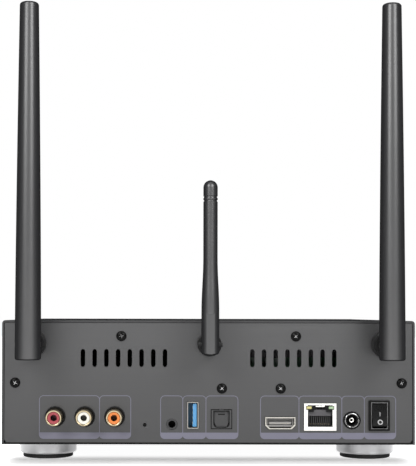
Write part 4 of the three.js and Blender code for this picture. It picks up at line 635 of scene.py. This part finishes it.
class PLAYER_OT_stage(PlayerOperator, bpy.types.Operator):
    """Makes the camera, the world, the lamps, the pale floor and the dark side cards"""
    bl_idname = "player.stage"
    bl_label = "Set the stage"

    def execute(self, context):
        context.scene.view_settings.view_transform = "Standard"
        self.make_camera(context.scene)
        self.make_world(context.scene)
        self.make_lamps(context.scene)
        self.make_floor()
        self.make_cards()
        return {"FINISHED"}

    def make_camera(self, scene):
        camera = bpy.data.cameras.new("camera")
        seen = bpy.data.objects.new("camera", camera)
        scene.collection.objects.link(seen)
        scene.camera = seen
        camera.sensor_fit = "AUTO"
        camera.sensor_width = SENSOR
        camera.lens = SENSOR * FOCAL / PHOTO_HEIGHT
        camera.shift_x, camera.shift_y = (pixels / PHOTO_HEIGHT for pixels in SHIFT)
        pitch, yaw, roll = (math.radians(angle) for angle in (PITCH, YAW, ROLL))
        turn = Matrix.Rotation(math.pi - yaw, 4, "Z") @ Matrix.Rotation(math.pi / 2 + pitch, 4, "X")
        seen.matrix_world = (Matrix.Translation(Vector(CAMERA_PLACE) * MM) @ turn
                             @ Matrix.Rotation(roll, 4, "Z"))
        camera.clip_start = 0.01
        camera.clip_end = 20

    def make_world(self, scene):
        """Makes a white world that lights the player less than it shows."""
        world = bpy.data.worlds.new("world")
        scene.world = world
        world.use_nodes = True
        tree = world.node_tree
        tree.nodes.clear()
        strength = math_node(tree, "MULTIPLY_ADD", self.shown_rays(tree), 0.6, 0.4)
        sky = add_node(tree, "ShaderNodeBackground", [("Color", WHITE), ("Strength", strength)])
        out = add_node(tree, "ShaderNodeOutputWorld", [("Surface", sky.outputs[0])])
        out.is_active_output = True

    def make_lamps(self, scene):
        for name, place, aim, width, height, power in LAMPS:
            lamp = bpy.data.lights.new(name, "AREA")
            lamp.shape = "RECTANGLE"
            lamp.size, lamp.size_y = width, height
            lamp.energy = power
            stand = bpy.data.objects.new(name, lamp)
            scene.collection.objects.link(stand)
            stand.location = place
            stand.rotation_euler = (Vector(aim) - Vector(place)).to_track_quat("-Z", "Y").to_euler()

    def make_floor(self):
        """Makes the floor, whose paint glows only on rays that show it."""
        clear_selection()
        bpy.ops.mesh.primitive_plane_add(size=FLOOR_SIZE, location=ORIGIN)
        floor = bpy.context.object
        floor.name = "floor"
        material, tree, _ = start_material("Pale floor", Base_Color=(*self.colours.floor, 1),
                                           Roughness=0.6)
        shader = tree.nodes["Principled BSDF"]
        glow = add_node(tree, "ShaderNodeEmission",
                        [("Color", WHITE), ("Strength", self.glow_with_painted_shadow(tree))])
        lit = add_node(tree, "ShaderNodeAddShader", [(0, shader.outputs[0]), (1, glow.outputs[0])])
        mix = add_node(tree, "ShaderNodeMixShader",
                       [(0, self.shown_rays(tree)), (1, shader.outputs[0]), (2, lit.outputs[0])])
        tree.links.new(mix.outputs[0], tree.nodes["Material Output"].inputs["Surface"])
        floor.data.materials.append(material)

    def make_cards(self):
        """Stands a dark studio card on each side, for the metal and the gloss to reflect."""
        material = start_material("Dark card", Base_Color=(0.3, 0.3, 0.3, 1), Roughness=0.8)[0]
        x, y, z = CARD_PLACE
        for side, name in ((1, "left card"), (-1, "right card")):
            clear_selection()
            bpy.ops.mesh.primitive_plane_add(size=CARD_SIZE, location=(side * x, y, z),
                                             rotation=(0, -side * math.pi / 2, 0))
            card = bpy.context.object
            card.name = name
            card.data.materials.append(material)
            card.visible_camera = False
            card.visible_diffuse = False
            card.visible_shadow = False

    def shown_rays(self, tree):
        """Gives 1 on rays that show the background, directly, mirrored or through glass."""
        rays = add_node(tree, "ShaderNodeLightPath").outputs
        first = math_node(tree, "MAXIMUM", rays["Is Camera Ray"], rays["Is Glossy Ray"])
        return math_node(tree, "MAXIMUM", first, rays["Is Transmission Ray"])

    def glow_with_painted_shadow(self, tree):
        """Lights the floor toward white, and paints a darker band of shadow along the player's rear
        and front feet, where its cast shadow is deepest."""
        feet_line, reach = 0.087, 0.03
        glow, painted_shadow_depth = 0.97, -0.8
        axes = object_axes(tree)
        across, along = (math_node(tree, "ABSOLUTE", axes[axis]) for axis in "XY")
        ends = map_range(tree, across, (0.09, 0.115), (1.0, 0.0), "SMOOTHERSTEP")
        away = math_node(tree, "ABSOLUTE", math_node(tree, "SUBTRACT", along, feet_line))
        near = map_range(tree, away, (0.0, reach), (1.0, 0.0), "SMOOTHERSTEP")
        # Painted shadow: the glow is lowered in this band, so the floor is drawn darker along the
        # feet lines.
        painted_shadow_band = math_node(tree, "MULTIPLY", ends, near)
        return math_node(tree, "MULTIPLY_ADD", painted_shadow_band, painted_shadow_depth, glow)


class PLAYER_OT_feet(PlayerOperator, bpy.types.Operator):
    """Makes the turned metal feet and their rubber pads"""
    bl_idname = "player.feet"
    bl_label = "Make feet"

    def execute(self, context):
        outer = self.sizes.foot_radius / MM
        pad = self.sizes.pad_radius / MM
        under, top, round_off = 2.2, 8.5, 1.1
        edge = arc(outer - round_off, under + round_off, round_off, -round_off, 6)[::-1]
        foot = turned([
            (0, 3.0), (pad + 0.15, 3.0), (pad + 0.15, under + 0.15), (pad + 0.3, under), *edge,
            (outer, top - 0.2), (outer - 0.2, top), (0, top),
        ], 96)
        rubber = turned([
            (0, 0.12), (3, 0.1), (pad - 2.2, 0.1), (pad - 2.0, 0), (pad - 0.5, 0), (pad - 0.15, 0.15),
            (pad, 0.5), (pad, 3.0), (0, 3.0),
        ], 64)
        for where in ("rear_right", "rear_left", "front_right", "front_left"):
            at = middle(f"foot_{where}") * Vector((1, 1, 0))
            done(copied(foot), f"foot_looks_{where}", "foot", at, node=f"foot_{where}")
            done(copied(rubber), f"pad_looks_{where}", "rubber", at, node=f"foot_pad_{where}")
        discard(foot, rubber)
        return {"FINISHED"}


# How far each screw happens to be turned, in degrees
SCREW_TURNS = {"top_right": 12, "top_left": 38, "side_right": 62, "side_left": 24,
               "cage_right": 45, "cage_left": 40}


class PLAYER_OT_screws(PlayerOperator, bpy.types.Operator):
    """Makes the domed screws of the rear panel with their cross recesses"""
    bl_idname = "player.screws"
    bl_label = "Make screws"

    def execute(self, context):
        rim = self.sizes.screw_radius / MM
        arm, half_width, depth = 1.25, 0.27, 0.55
        shank, side, dome = 1.4, 0.35, 1.15
        screw = turned([(0, -3.6), (shank - 0.2, -3.6), (shank, -3.4), (shank, 0), (rim - 0.15, 0),
                        (rim, 0.12), *arc(0, side, rim, dome, 7)], 40)
        for index in range(2):
            cutter = block((-arm, -half_width, depth), (arm, half_width, 2.5))
            carve(screw, placed(cutter, ORIGIN, (0, 0, index * math.pi / 2)))
        carve(screw, turned([(0, 0.35), (0.35, 0.5), (0.85, 2.2), (0, 2.2)], 12))
        bar = block((0.15 - arm, 0.1 - half_width, depth - 0.05),
                    (arm - 0.15, half_width - 0.1, depth + 0.07), 0.04)
        glint = joined(bar, placed(copied(bar), ORIGIN, (0, 0, math.pi / 2)))
        for where, angle in SCREW_TURNS.items():
            screw_node = f"rear_screw_{where}"
            for piece, kind, node in ((glint, "recess", None), (screw, "looks", screw_node)):
                twin = placed(copied(piece), ORIGIN, (0, 0, math.radians(angle)))
                done(twin, f"screw_{kind}_{where}", "recess" if piece is glint else "screw",
                     on_panel(screw_node), BACK, node)
        discard(glint, screw)
        return {"FINISHED"}


class PLAYER_OT_phono(PlayerOperator, bpy.types.Operator):
    """Makes the three phono sockets: housing, plated sleeves and coloured inserts"""
    bl_idname = "player.phono"
    bl_label = "Make phono sockets"

    def execute(self, context):
        outer = self.sizes.sleeve_radius / MM
        bore, behind = 3.1, -4
        low, high = corners("phono_block")
        body = block(low, (high.x, PANEL - 1.2, high.z), 0.3)
        nose = turned([(outer + 0.13, behind), (5, behind), (5, 0.45), (4.9, 0.7), (4.65, 0.8),
                       (outer + 0.3, 0.8), (outer + 0.13, 0.65)], 56, ring=True)
        sleeve = turned([(bore, behind), (outer, behind), (outer, 8), (outer - 0.05, 8.2),
                         (outer - 0.3, 8.85), (outer - 0.4, 9), (3.4, 9), (3.2, 8.9),
                         (bore, 8.65)], 56, ring=True)
        insert = turned([(0, behind), (3, behind), (3, 8.4), (2.9, 8.5), (1.75, 8.5),
                         (1.55, 8.3), (1.55, 1.5), (0, 1.5)], 48)
        contact = turned([(1.2, 1.4), (1.5, 1.4), (1.5, 6.5), (1.2, 6.5)], 24, ring=True)
        noses = []
        for name in ("red", "white", "orange"):
            at = on_panel(f"phono_sleeve_{name}")
            noses.append(placed(copied(nose), at, BACK))
            done(copied(sleeve), f"sleeve_{name}", "gold", at, BACK, node=f"phono_sleeve_{name}")
            done(copied(insert), f"insert_{name}", name, at, BACK, node=f"phono_insert_{name}")
            done(copied(contact), f"phono_contact_{name}", "black", at, BACK)
        done(joined(body, *noses), "phono_housing", "black", node="phono_block")
        discard(nose, sleeve, insert, contact)
        return {"FINISHED"}


class PLAYER_OT_round_sockets(PlayerOperator, bpy.types.Operator):
    """Makes the small jack, the reset plunger and the power inlet"""
    bl_idname = "player.round_sockets"
    bl_label = "Make round sockets"

    def execute(self, context):
        at = on_panel("ir_jack")
        low, high = corners("ir_jack")
        body = block(low, (high.x, PANEL - 1.2, high.z), 0.2)
        bore = 1.75
        carve(body, placed(rod(bore + 0.15, -12, 0, "Y", 40), at))
        tube = turned([(bore, -11), (2.5, -11), (2.5, -0.4), (bore, -0.4)], 40, ring=True)
        end = rod(2.45, -11.2, -10.9, "Z", 40)
        lining = placed(joined(tube, end), at, BACK)
        done(joined(body, lining), "small_jack", "black", node="ir_jack")
        nose = turned([(bore + 0.05, -0.5), (2.65, -0.5), (2.65, -0.12), (2.55, 0), (2.35, 0),
                       (2.2, -0.1), (2.05, -0.1), (1.95, 0), (1.85, -0.02), (bore + 0.05, -0.2)],
                      40, ring=True)
        done(nose, "small_jack_collar", "socket", at, BACK)
        plunger = turned([(0, -3.7), (0.7, -3.7), (0.7, -0.65), (0.6, -0.52), (0.4, -0.5),
                          (0, -0.5)], 24)
        done(plunger, "reset_plunger_looks", "black", on_panel("reset_plunger"), BACK,
             body="reset_plunger", node="reset_plunger")
        at = on_panel("inlet_barrel")
        barrel = turned([(2.95, -10), (3.65, -10), (3.65, 0.4), (3.55, 0.62), (3.35, 0.7),
                         (3.2, 0.66), (3.0, 0.4), (2.95, 0)], 56, ring=True)
        done(barrel, "inlet_barrel_looks", "chrome", at, BACK, node="inlet_barrel")
        liner = turned([(0, -9.9), (2.93, -9.9), (2.93, -0.5), (2.6, -0.5), (2.5, -7.0),
                        (0.63, -7.0), (0.63, -1.3), (0, -1.25)], 40)
        done(liner, "inlet_liner", "black", at, BACK)
        pin = turned([(0.65, -7.2), (1.2, -7.2), (1.2, -1.15), (1.1, -0.95), (0.95, -0.9),
                      (0.75, -1), (0.65, -1.3)], 32, ring=True)
        done(pin, "inlet_pin", "nickel", at, BACK)
        return {"FINISHED"}


class PLAYER_OT_switch(PlayerOperator, bpy.types.Operator):
    """Makes the rocker switch with its bezel and its two marks"""
    bl_idname = "player.switch"
    bl_label = "Make rocker switch"

    def execute(self, context):
        at = on_panel("switch_housing")
        low, high = corners("switch_housing")
        half_x, half_z, stand = (high.x - low.x) / 2, (high.z - low.z) / 2, high.y - PANEL
        open_x, open_z = 3.8, 6.26
        bezel = block((-half_x, 0, -half_z), (half_x, stand, half_z))
        carve(bezel, block((-open_x, -1, -open_z), (open_x, 3, open_z)))
        soften(bezel, 0.3, 3)
        body = block((-4.3, low.y - PANEL, -6.6), (4.3, 0.2, 6.6), 0.2)
        carve(body, block((-open_x, -5.6, -open_z), (open_x, 3, open_z)))
        done(joined(bezel, body), "switch_bezel", "black", at, node="switch_housing")
        # Painted highlight: a thin grey lip set into the bezel's rounded inner edge, drawn lighter
        # where that edge catches the light.
        lip = block((-open_x - 0.35, stand - 0.1, -open_z - 0.35),
                    (open_x + 0.35, stand - 0.005, open_z + 0.35))
        carve(lip, block((-open_x, 0, -open_z), (open_x, 3, open_z)))
        done(soften(lip, 0.02, 1), "switch_painted_edge_highlight", "bezel highlight", at)
        pin_out = 0.4
        self.make_rocker(at + Vector((0, pin_out, 0)))
        return {"FINISHED"}

    def make_rocker(self, pivot):
        """Makes the dished rocker leaning to its off side, with the marks set into it."""
        lean = math.radians(8)
        rise, half = 2.2, 5.4
        tip = rise + half * math.tan(lean)
        cap = block((-3.5, 0, -half), (3.5, tip, half))
        dish = (half * half + (tip - rise) ** 2) / (2 * (tip - rise))
        carve(cap, placed(rod(dish, -6, 6, "X", 160), (0, rise + dish, 0)))

        def dished(z):
            """How far out the dish lies at a height."""
            return rise + dish - math.sqrt(dish * dish - z * z)

        grooves, pitch, margin = 5, 0.52, 0.75
        for index in range(grooves):
            z = half - margin - index * pitch
            y = dished(z)
            carve(cap, block((-2.9, y - 0.16, z - 0.13), (2.9, y + 1, z + 0.13)))
        soften(cap, 0.12, 2, 30)
        heel = block((-3.45, -3, -2.6), (3.45, 0.4, 2.6), 0.2)
        pin = rod(0.7, -4.2, 4.2, "X", 20, 0.1)
        done(joined(cap, heel, pin), "rocker_looks", "rocker", pivot, (lean, 0, 0),
             body="switch_rocker", node="switch_rocker")
        on = block((-0.2, -0.1, -1.0), (0.2, 0.12, 1.0), 0.05)
        off = turned([(0.75, -0.2), (1.3, -0.2), (1.3, 0.04), (1.2, 0.07), (0.85, 0.07),
                      (0.75, 0.04)], 40, ring=True)
        placed(off, ORIGIN, BACK)
        for mark, name, z in ((on, "on", 0.55), (off, "off", -3.4)):
            mark = placed(mark, (0, dished(z), z), (-math.asin(z / dish), 0, 0))
            done(mark, f"rocker_mark_{name}", "mark", pivot, (lean, 0, 0), body="switch_rocker")


# The contacts of each flat socket: the corners and bevel of one contact about the middle of
# the row, their number and the step from one to the next.
PIN_PITCH = 1.02
CONTACTS = {
    "network_socket": ((-0.2, -9.4, -3.85), (0.2, -2.2, -3.45), 0.05, 10, (PIN_PITCH, 0, 0)),
    "data_socket": ((-0.06, -7.2, -0.7), (0.1, -1.2, 0.7), 0.03, 4, (0, 0, 2.5)),
    "video_socket": ((-0.14, -5.8, -0.2), (0.14, -0.8, -0.1), 0.02, 19, (0.55, 0, 0)),
}


class PLAYER_OT_contacts(PlayerOperator, bpy.types.Operator):
    """Makes the contacts, lamps and lips inside the flat sockets"""
    bl_idname = "player.contacts"
    bl_label = "Make socket details"

    def execute(self, context):
        self.make_network()
        self.make_contacts("data_socket", "shell")
        self.make_video()
        self.make_door_lines()
        return {"FINISHED"}

    def make_contacts(self, socket, around):
        low, high, bevel, count, step = CONTACTS[socket]
        done(in_row(block(low, high, bevel), count, step), f"{socket}_contacts", "gold",
             on_panel(f"{socket}_{around}"))

    def make_network(self):
        """Makes the tab, shelf, ribs, contacts and two lamps of the network socket."""
        at = on_panel("network_socket_shield")
        top, lamp_side = 4.95, 5.5
        tab = block((-2.3, -2.6, top), (2.3, 0.45, top + 0.8), 0.2)
        done(tab, "network_socket_tab", "nickel", at)
        slope = math.radians(-12)
        shelf = placed(block((-5.85, -11.5, 0), (5.85, 0, 3.2), 0.1), (0, -1.2, 0.35), (slope, 0, 0))
        done(shelf, "network_socket_shelf", "shelf", at)
        ribs = in_row(block((-0.26, -10, -4.65), (0.26, -1.4, 0.15), 0.08), 11, (PIN_PITCH, 0, 0))
        wall = block((-5.85, -11.4, -4.7), (5.85, -9.5, 1.75), 0.1)
        done(joined(ribs, wall), "network_socket_ribs", "rubber", at)
        self.make_contacts("network_socket", "shield")
        lamp = block((-1.25, 0.22, -0.65), (1.25, 0.5, 0.65), 0.25, 4)
        for name, side in (("yellow", 1), ("green", -1)):
            done(copied(lamp), f"network_lamp_{name}", f"{name} lamp",
                 at + Vector((side * lamp_side, 0, 4.6)))
        discard(lamp)

    def make_video(self):
        """Makes the contacts, lining and tongue of the video socket."""
        self.make_contacts("video_socket", "shell")
        at = on_panel("video_socket_shell")
        lining = block((-6.7, -8, -1.9), (6.7, -1.2, 2.3), 0.1)
        carve(lining, block((-6.2, -6, -1.2), (6.2, 2, 1.8)))
        plate = block((-6.3, -7, -1.3), (6.3, -3.2, 1.9), 0.1)
        done(joined(lining, plate), "video_socket_lining", "pale socket", at)
        tongue = block((-5.6, -4, -0.75), (5.6, -0.9, 0.45), 0.15)
        done(tongue, "video_tongue_looks", "pale socket", at, node="video_socket_tongue")

    def make_door_lines(self):
        """Makes the dark seams round the optical socket and its door."""
        low, high = corners("optical_housing")
        door = middle("optical_shutter")
        face, width, seam, corner = high.y, 0.4, 4.7, 1.5
        outline = block((low.x - width / 2, PANEL, door.z - seam - width / 2),
                        (high.x + width / 2, face + 0.02, door.z + seam + width / 2))
        carve(outline, block((low.x + width / 2, PANEL - 1, door.z - seam + width / 2),
                             (high.x - width / 2, PANEL + 2, door.z + seam - width / 2)),
              block((door.x - 1, PANEL - 1, door.z + seam - 0.8),
                    (door.x + 1, PANEL + 2, door.z + seam + 1)))
        done(outline, "optical_seam", "line")
        half_x, half_z = 3.65, 3.8
        rims = []
        for grow, back, front in ((width, -0.4, 0.03), (0.0, -2.0, 1.0)):
            x, z = half_x + grow, half_z + grow
            rim = block((door.x - x, face + back, door.z - z),
                        (door.x + x, face + front, door.z + z))
            under = door.z - z + 0.01
            rims.append(round_edges(rim, lambda a, b: max(a.z, b.z) < under and
                                    abs(a.x - b.x) < 0.01, corner + grow, 5))
        done(carve(*rims), "optical_door_seam", "line")
        bar = block((door.x - 1.7, face - 0.75, door.z + 2.1),
                    (door.x + 1.7, face - 0.62, door.z + 2.6), 0.03)
        done(bar, "optical_door_mark", "line", body="optical_shutter")


# The upright lines of each printed group, in millimetres from the edge at photo-left
PRINT_LINES = ((18.6, 48.4, 63.9), (78.7, 89.7, 101.2, 117.1), (128.3, 147.4, 168.7, 179.9, 195.5))


class PLAYER_OT_prints(PlayerOperator, bpy.types.Operator):
    """Prints the plain frames and label bars round the sockets"""
    bl_idname = "player.prints"
    bl_label = "Print frames"

    def execute(self, context):
        half = self.sizes.print_line / MM / 2
        low, high = PANEL - 0.05, PANEL + 0.04
        edge = corners("top_cover")[1].x
        bottom, bar_top, top, corner = 11.4, 14.4, 32.6, 2.0
        pieces = []
        for group in PRINT_LINES:
            spans = [(edge - right, edge - left) for left, right in zip(group, group[1:])]
            outers = [patch(x0 - half, x1 + half, bottom - half, top + half, corner + 0.2, low, high)
                      for x0, x1 in spans]
            printed = carve(outers[0], *outers[1:], operation="UNION")
            inners = [(x0 + half, x1 - half) for x0, x1 in spans]
            holes = [patch(x0, x1, bar_top, top - half, corner - 0.2, low - 1, high + 1)
                     for x0, x1 in inners]
            square = [block((x0, low - 1, bar_top), (x1, high + 1, bar_top + 6)) for x0, x1 in inners]
            pieces.append(carve(printed, *holes, *square))
        done(joined(*pieces), "printed_frames", "ink", smooth=False)
        return {"FINISHED"}


# The antennas: how far the hinge lies out from the panel, the height of each whip over it and
# its drop under it, the radii of the collar, tongue and pin, the tongue's width and half the
# length of the pin.
HINGE_OUT = 20.0
SIDE = {"top": 164.6, "drop": 7.6, "collar": 7.0, "tongue": 4.4, "wall": 5.0, "pin": 1.5,
        "pin_half": 6.1}
CENTRE_RADII = (4.3, 3.45)
CENTRE = {"top": 79.1, "drop": 4.8, "collar": 5.8, "tongue": 3.1, "wall": 3.0, "pin": 1.1,
          "pin_half": 5.9}


class PLAYER_OT_antennas(PlayerOperator, bpy.types.Operator):
    """Makes the three antennas: threaded jacks, swivelling knuckles and folding whips"""
    bl_idname = "player.antennas"
    bl_label = "Make antennas"

    def execute(self, context):
        jack = self.make_jack()
        for size, wheres in ((SIDE, ("right", "left")), (CENTRE, ("centre",))):
            knuckle = self.make_knuckle(size)
            whip = self.make_whip(size)
            for where in wheres:
                at = on_panel(f"antenna_jack_{where}")
                hinge = at + Vector((0, HINGE_OUT, 0))
                done(copied(jack), f"jack_{where}", "gold", at, BACK, node=f"antenna_jack_{where}")
                done(copied(knuckle), f"knuckle_{where}", "knuckle", hinge,
                     body=f"{where}_antenna_knuckle", node=f"antenna_knuckle_{where}")
                done(copied(whip), f"whip_{where}", "antenna", hinge, body=f"{where}_antenna_whip",
                     node=f"antenna_whip_{where}")
            discard(knuckle, whip)
        discard(jack)
        return {"FINISHED"}

    def side_profile(self, lower, upper, size):
        """The outline of a side whip from its foot, past its flare, to its rounded tip."""
        foot, tip = -size["drop"], size["top"]
        tip_round, rings, flare = 1.4, 16, 1.45
        start, end = foot + 1.3, tip - tip_round
        points = [(0, foot), (lower - 0.9, foot + 0.25), (lower - 0.35, foot + 0.5),
                  (lower - 0.08, foot + 0.85), (lower, start)]
        for ring in range(1, rings + 1):
            share = ring / rings
            points.append((lower - (lower - upper) * share ** flare, start + (end - start) * share))
        return points + arc(upper - tip_round, end, tip_round, tip_round, 6)[1:] + [(0, tip)]

    def centre_profile(self, lower, upper, size):
        """The outline of the small whip with the two grooves under its ball end."""
        foot, tip = -size["drop"], size["top"]
        neck, narrowing, rings = 15.8, 26, 10
        points = [(0, foot), (lower - 0.6, foot + 0.3), (lower - 0.2, foot + 0.6),
                  (lower, foot + 1), (lower, neck)]
        for ring in range(1, rings + 1):
            share = ring / rings
            points.append((lower - (lower - upper) * (1 - math.cos(math.pi * share)) / 2,
                           neck + narrowing * share))
        for height in (tip - 9.9, tip - 8.1):
            points += [(upper, height - 0.45), (upper - 0.25, height - 0.3), (upper - 0.35, height),
                       (upper - 0.25, height + 0.3), (upper, height + 0.45)]
        return points + arc(0, tip - upper, upper, upper, 9)[:-1] + [(0, tip)]

    def make_whip(self, size):
        if size is SIDE:
            profile = self.side_profile(self.sizes.whip_radius / MM, self.sizes.whip_tip / MM, size)
        else:
            profile = self.centre_profile(*CENTRE_RADII, size)
        whip = turned(profile, 64)
        self.fork(whip, size)
        if size is CENTRE:
            flat, flat_top = 3.9, 14.8
            carve(whip, block((-20, flat, -20), (20, 20, flat_top)))
        return soften(whip, 0.15, 2, 50)

    def fork(self, whip, size):
        """Cuts the slot, the pin hole and the clearance that let a whip fold back."""
        side_gap, end_gap = 0.3, 0.4
        half = size["wall"] / 2 + side_gap
        radius = size["tongue"] + end_gap
        quarter = block((-30, -30, -30), (30, 0, 0))
        carve(quarter, rod(size["drop"], -40, 40, "X", 64))
        slot = block((-half, -20, -20), (half, radius, radius))
        round_edges(slot, lambda a, b: min(a.y, b.y, a.z, b.z) > 0, radius * 0.999, 12)
        carve(whip, quarter, slot, rod(size["pin"] + side_gap, -20, 20, "X", 32))

    def make_jack(self):
        thread, root, pitch, rings = 3.15, 2.9, 0.75, 9
        nut_width, nut_height = 8, 2.2
        profile = [(0, -3.2), (4.4, -3.2), (4.6, -3.0), (4.6, -1.4), (4.4, -1.2), (thread, -1.2),
                   (thread, 2.2)]
        for ring in range(rings):
            profile += [(thread, 2.4 + ring * pitch), (root, 2.75 + ring * pitch)]
        profile += [(thread, 9.1), (root, 9.5), (0, 9.5)]
        nut = rod(nut_width / 2 / math.cos(math.pi / 6), 0, nut_height, "Z", 6, 0.35)
        return joined(turned(profile, 32), nut)

    def make_knuckle(self, size):
        outer, bore, floor = size["collar"], 3.45, -10
        start, end = 2.5 - HINGE_OUT, -size["drop"] - 0.6
        sleeve = turned([
            (bore, start), (outer - 0.5, start), (outer - 0.15, start + 0.12), (outer, start + 0.5),
            (outer, end - 0.9), (outer - 0.12, end - 0.45), (outer - 0.4, end - 0.12),
            (outer - 0.9, end), (0, end), (0, floor), (bore, floor),
        ], 64, ring=True)
        placed(sleeve, ORIGIN, BACK)
        half, radius = size["wall"] / 2, size["tongue"]
        tongue = rod(radius, -half, half, "X", 48, 0.2)
        web = block((-half, end - 0.5, -radius), (half, 0, radius), 0.15)
        pin = rod(size["pin"], -size["pin_half"], size["pin_half"], "X", 32, 0.25)
        return joined(sleeve, tongue, web, pin)


class PLAYER_OT_front(PlayerOperator, bpy.types.Operator):
    """Makes the power button, the display window, and the tray's latch button and lever"""
    bl_idname = "player.front"
    bl_label = "Make front details"

    def execute(self, context):
        face = corners("front_panel")[0].y
        self.make_power_button(face)
        window = block(*corners("display_window"), 0.25, 3)
        done(window, "window_looks", "window", node="display_window")
        self.make_latch(face)
        self.make_lever()
        return {"FINISHED"}

    def make_power_button(self, face):
        low, high = corners("power_button")
        at = Vector((middle("power_button").x, low.y, middle("power_button").z))
        reach, flange = 5.4, (high.x - low.x) / 2
        depth = high.y - low.y
        button = turned([
            (0, 0.5), (2.4, 0.42), (4.0, 0.2), (4.7, 0.05), (4.95, 0), (5.2, 0.08), (reach, 0.35),
            (reach, depth - 1.2), (flange, depth - 1.2), (flange, depth), (0, depth),
        ], 64)
        done(button, "power_button_looks", "button", at, BACK, body="power_button",
             node="power_button")
        ring = turned([(5.75, -0.02), (6.15, -0.02), (6.15, 0.1), (6.05, 0.12), (5.85, 0.12),
                       (5.75, 0.1)], 64, ring=True)
        done(ring, "power_button_ring", "front", (at.x, face, at.z), BACK)

    def make_lever(self):
        """Makes the tray's lever: round at its hinge, scooped behind its grip and grooved."""
        low, high = corners("tray_lever")
        at = middle("tray_lever")
        pin_reach, pin_radius, scoop, scoop_radius = 1.6, 0.8, 1.2, 6.0
        thick = high.y - low.y
        bar = block((low.x, low.y, low.z + pin_reach), (high.x, high.y, high.z - pin_reach))
        round_edges(bar, lambda a, b: abs(a.x - b.x) < 1e-3 and abs(a.y - b.y) < 1e-3 and
                    a.x < at.x, thick / 2 - 0.02, 6)
        carve(bar, placed(rod(scoop_radius, -20, 20, "Z", 96),
                          (high.x - 5.5, high.y + scoop_radius - scoop, at.z)))
        grooves, pitch, margin = 4, 1.7, 2.4
        for index in range(grooves):
            x = high.x - margin - index * pitch
            carve(bar, block((x - 0.3, low.y - 1, low.z + 3.6),
                             (x + 0.3, low.y + 0.5, high.z - 3.6)))
        soften(bar, 0.12, 2, 40)
        pin = placed(rod(pin_radius, low.z - at.z, high.z - at.z, "Z", 24, 0.12),
                     (low.x + thick / 2, at.y, at.z))
        done(joined(bar, pin), "lever_looks", "lever", body="tray_lever", node="tray_lever")

    def make_latch(self, face):
        """Makes the latch button with its three grip ribs, its stem and its stop."""
        low, high = corners("tray_latch_button")
        at = middle("tray_latch_button")
        pad = block(low, (high.x, low.y + 1.5, high.z), 0.35, 3)
        stem_end = 6.3
        stem = placed(rod(2.2, 0.5, stem_end, "Y", 32, 0.1), (at.x, low.y, at.z))
        stop = placed(rod(3.4, stem_end, high.y - low.y, "Y", 32, 0.15), (at.x, low.y, at.z))
        rib = block((low.x + 2.4, face - 0.06, at.z - 0.25),
                    (high.x - 2.4, face + 0.2, at.z + 0.25), 0.08)
        ribs = in_row(rib, 3, (0, 0, 1.4))
        done(joined(pad, stem, stop, ribs), "latch_button_looks", "lever", body="tray_latch_button",
             node="tray_latch_button")


class PLAYER_PT_panel(bpy.types.Panel):
    bl_label = "Media player"
    bl_idname = "PLAYER_PT_panel"
    bl_space_type = "VIEW_3D"
    bl_region_type = "UI"
    bl_category = "Player"

    def draw(self, context):
        layout = self.layout
        for group in (context.scene.player_sizes, context.scene.player_colours):
            box = layout.box()
            for key in group.__annotations__:
                box.prop(group, key)
        for step in STEPS:
            layout.operator(step.bl_idname)


STEPS = (PLAYER_OT_finishes, PLAYER_OT_stage, PLAYER_OT_feet, PLAYER_OT_screws, PLAYER_OT_phono,
         PLAYER_OT_round_sockets, PLAYER_OT_switch, PLAYER_OT_contacts, PLAYER_OT_prints,
         PLAYER_OT_antennas, PLAYER_OT_front)
CLASSES = (PlayerSizes, PlayerColours, *STEPS, PLAYER_PT_panel)


def register():
    for made in CLASSES:
        bpy.utils.register_class(made)
    bpy.types.Scene.player_sizes = PointerProperty(type=PlayerSizes)
    bpy.types.Scene.player_colours = PointerProperty(type=PlayerColours)


def unregister():
    del bpy.types.Scene.player_colours
    del bpy.types.Scene.player_sizes
    for made in reversed(CLASSES):
        bpy.utils.unregister_class(made)


def main():
    register()
    for step in STEPS:
        group, name = step.bl_idname.split(".")
        getattr(getattr(bpy.ops, group), name)()


if __name__ == "__main__":
    main()
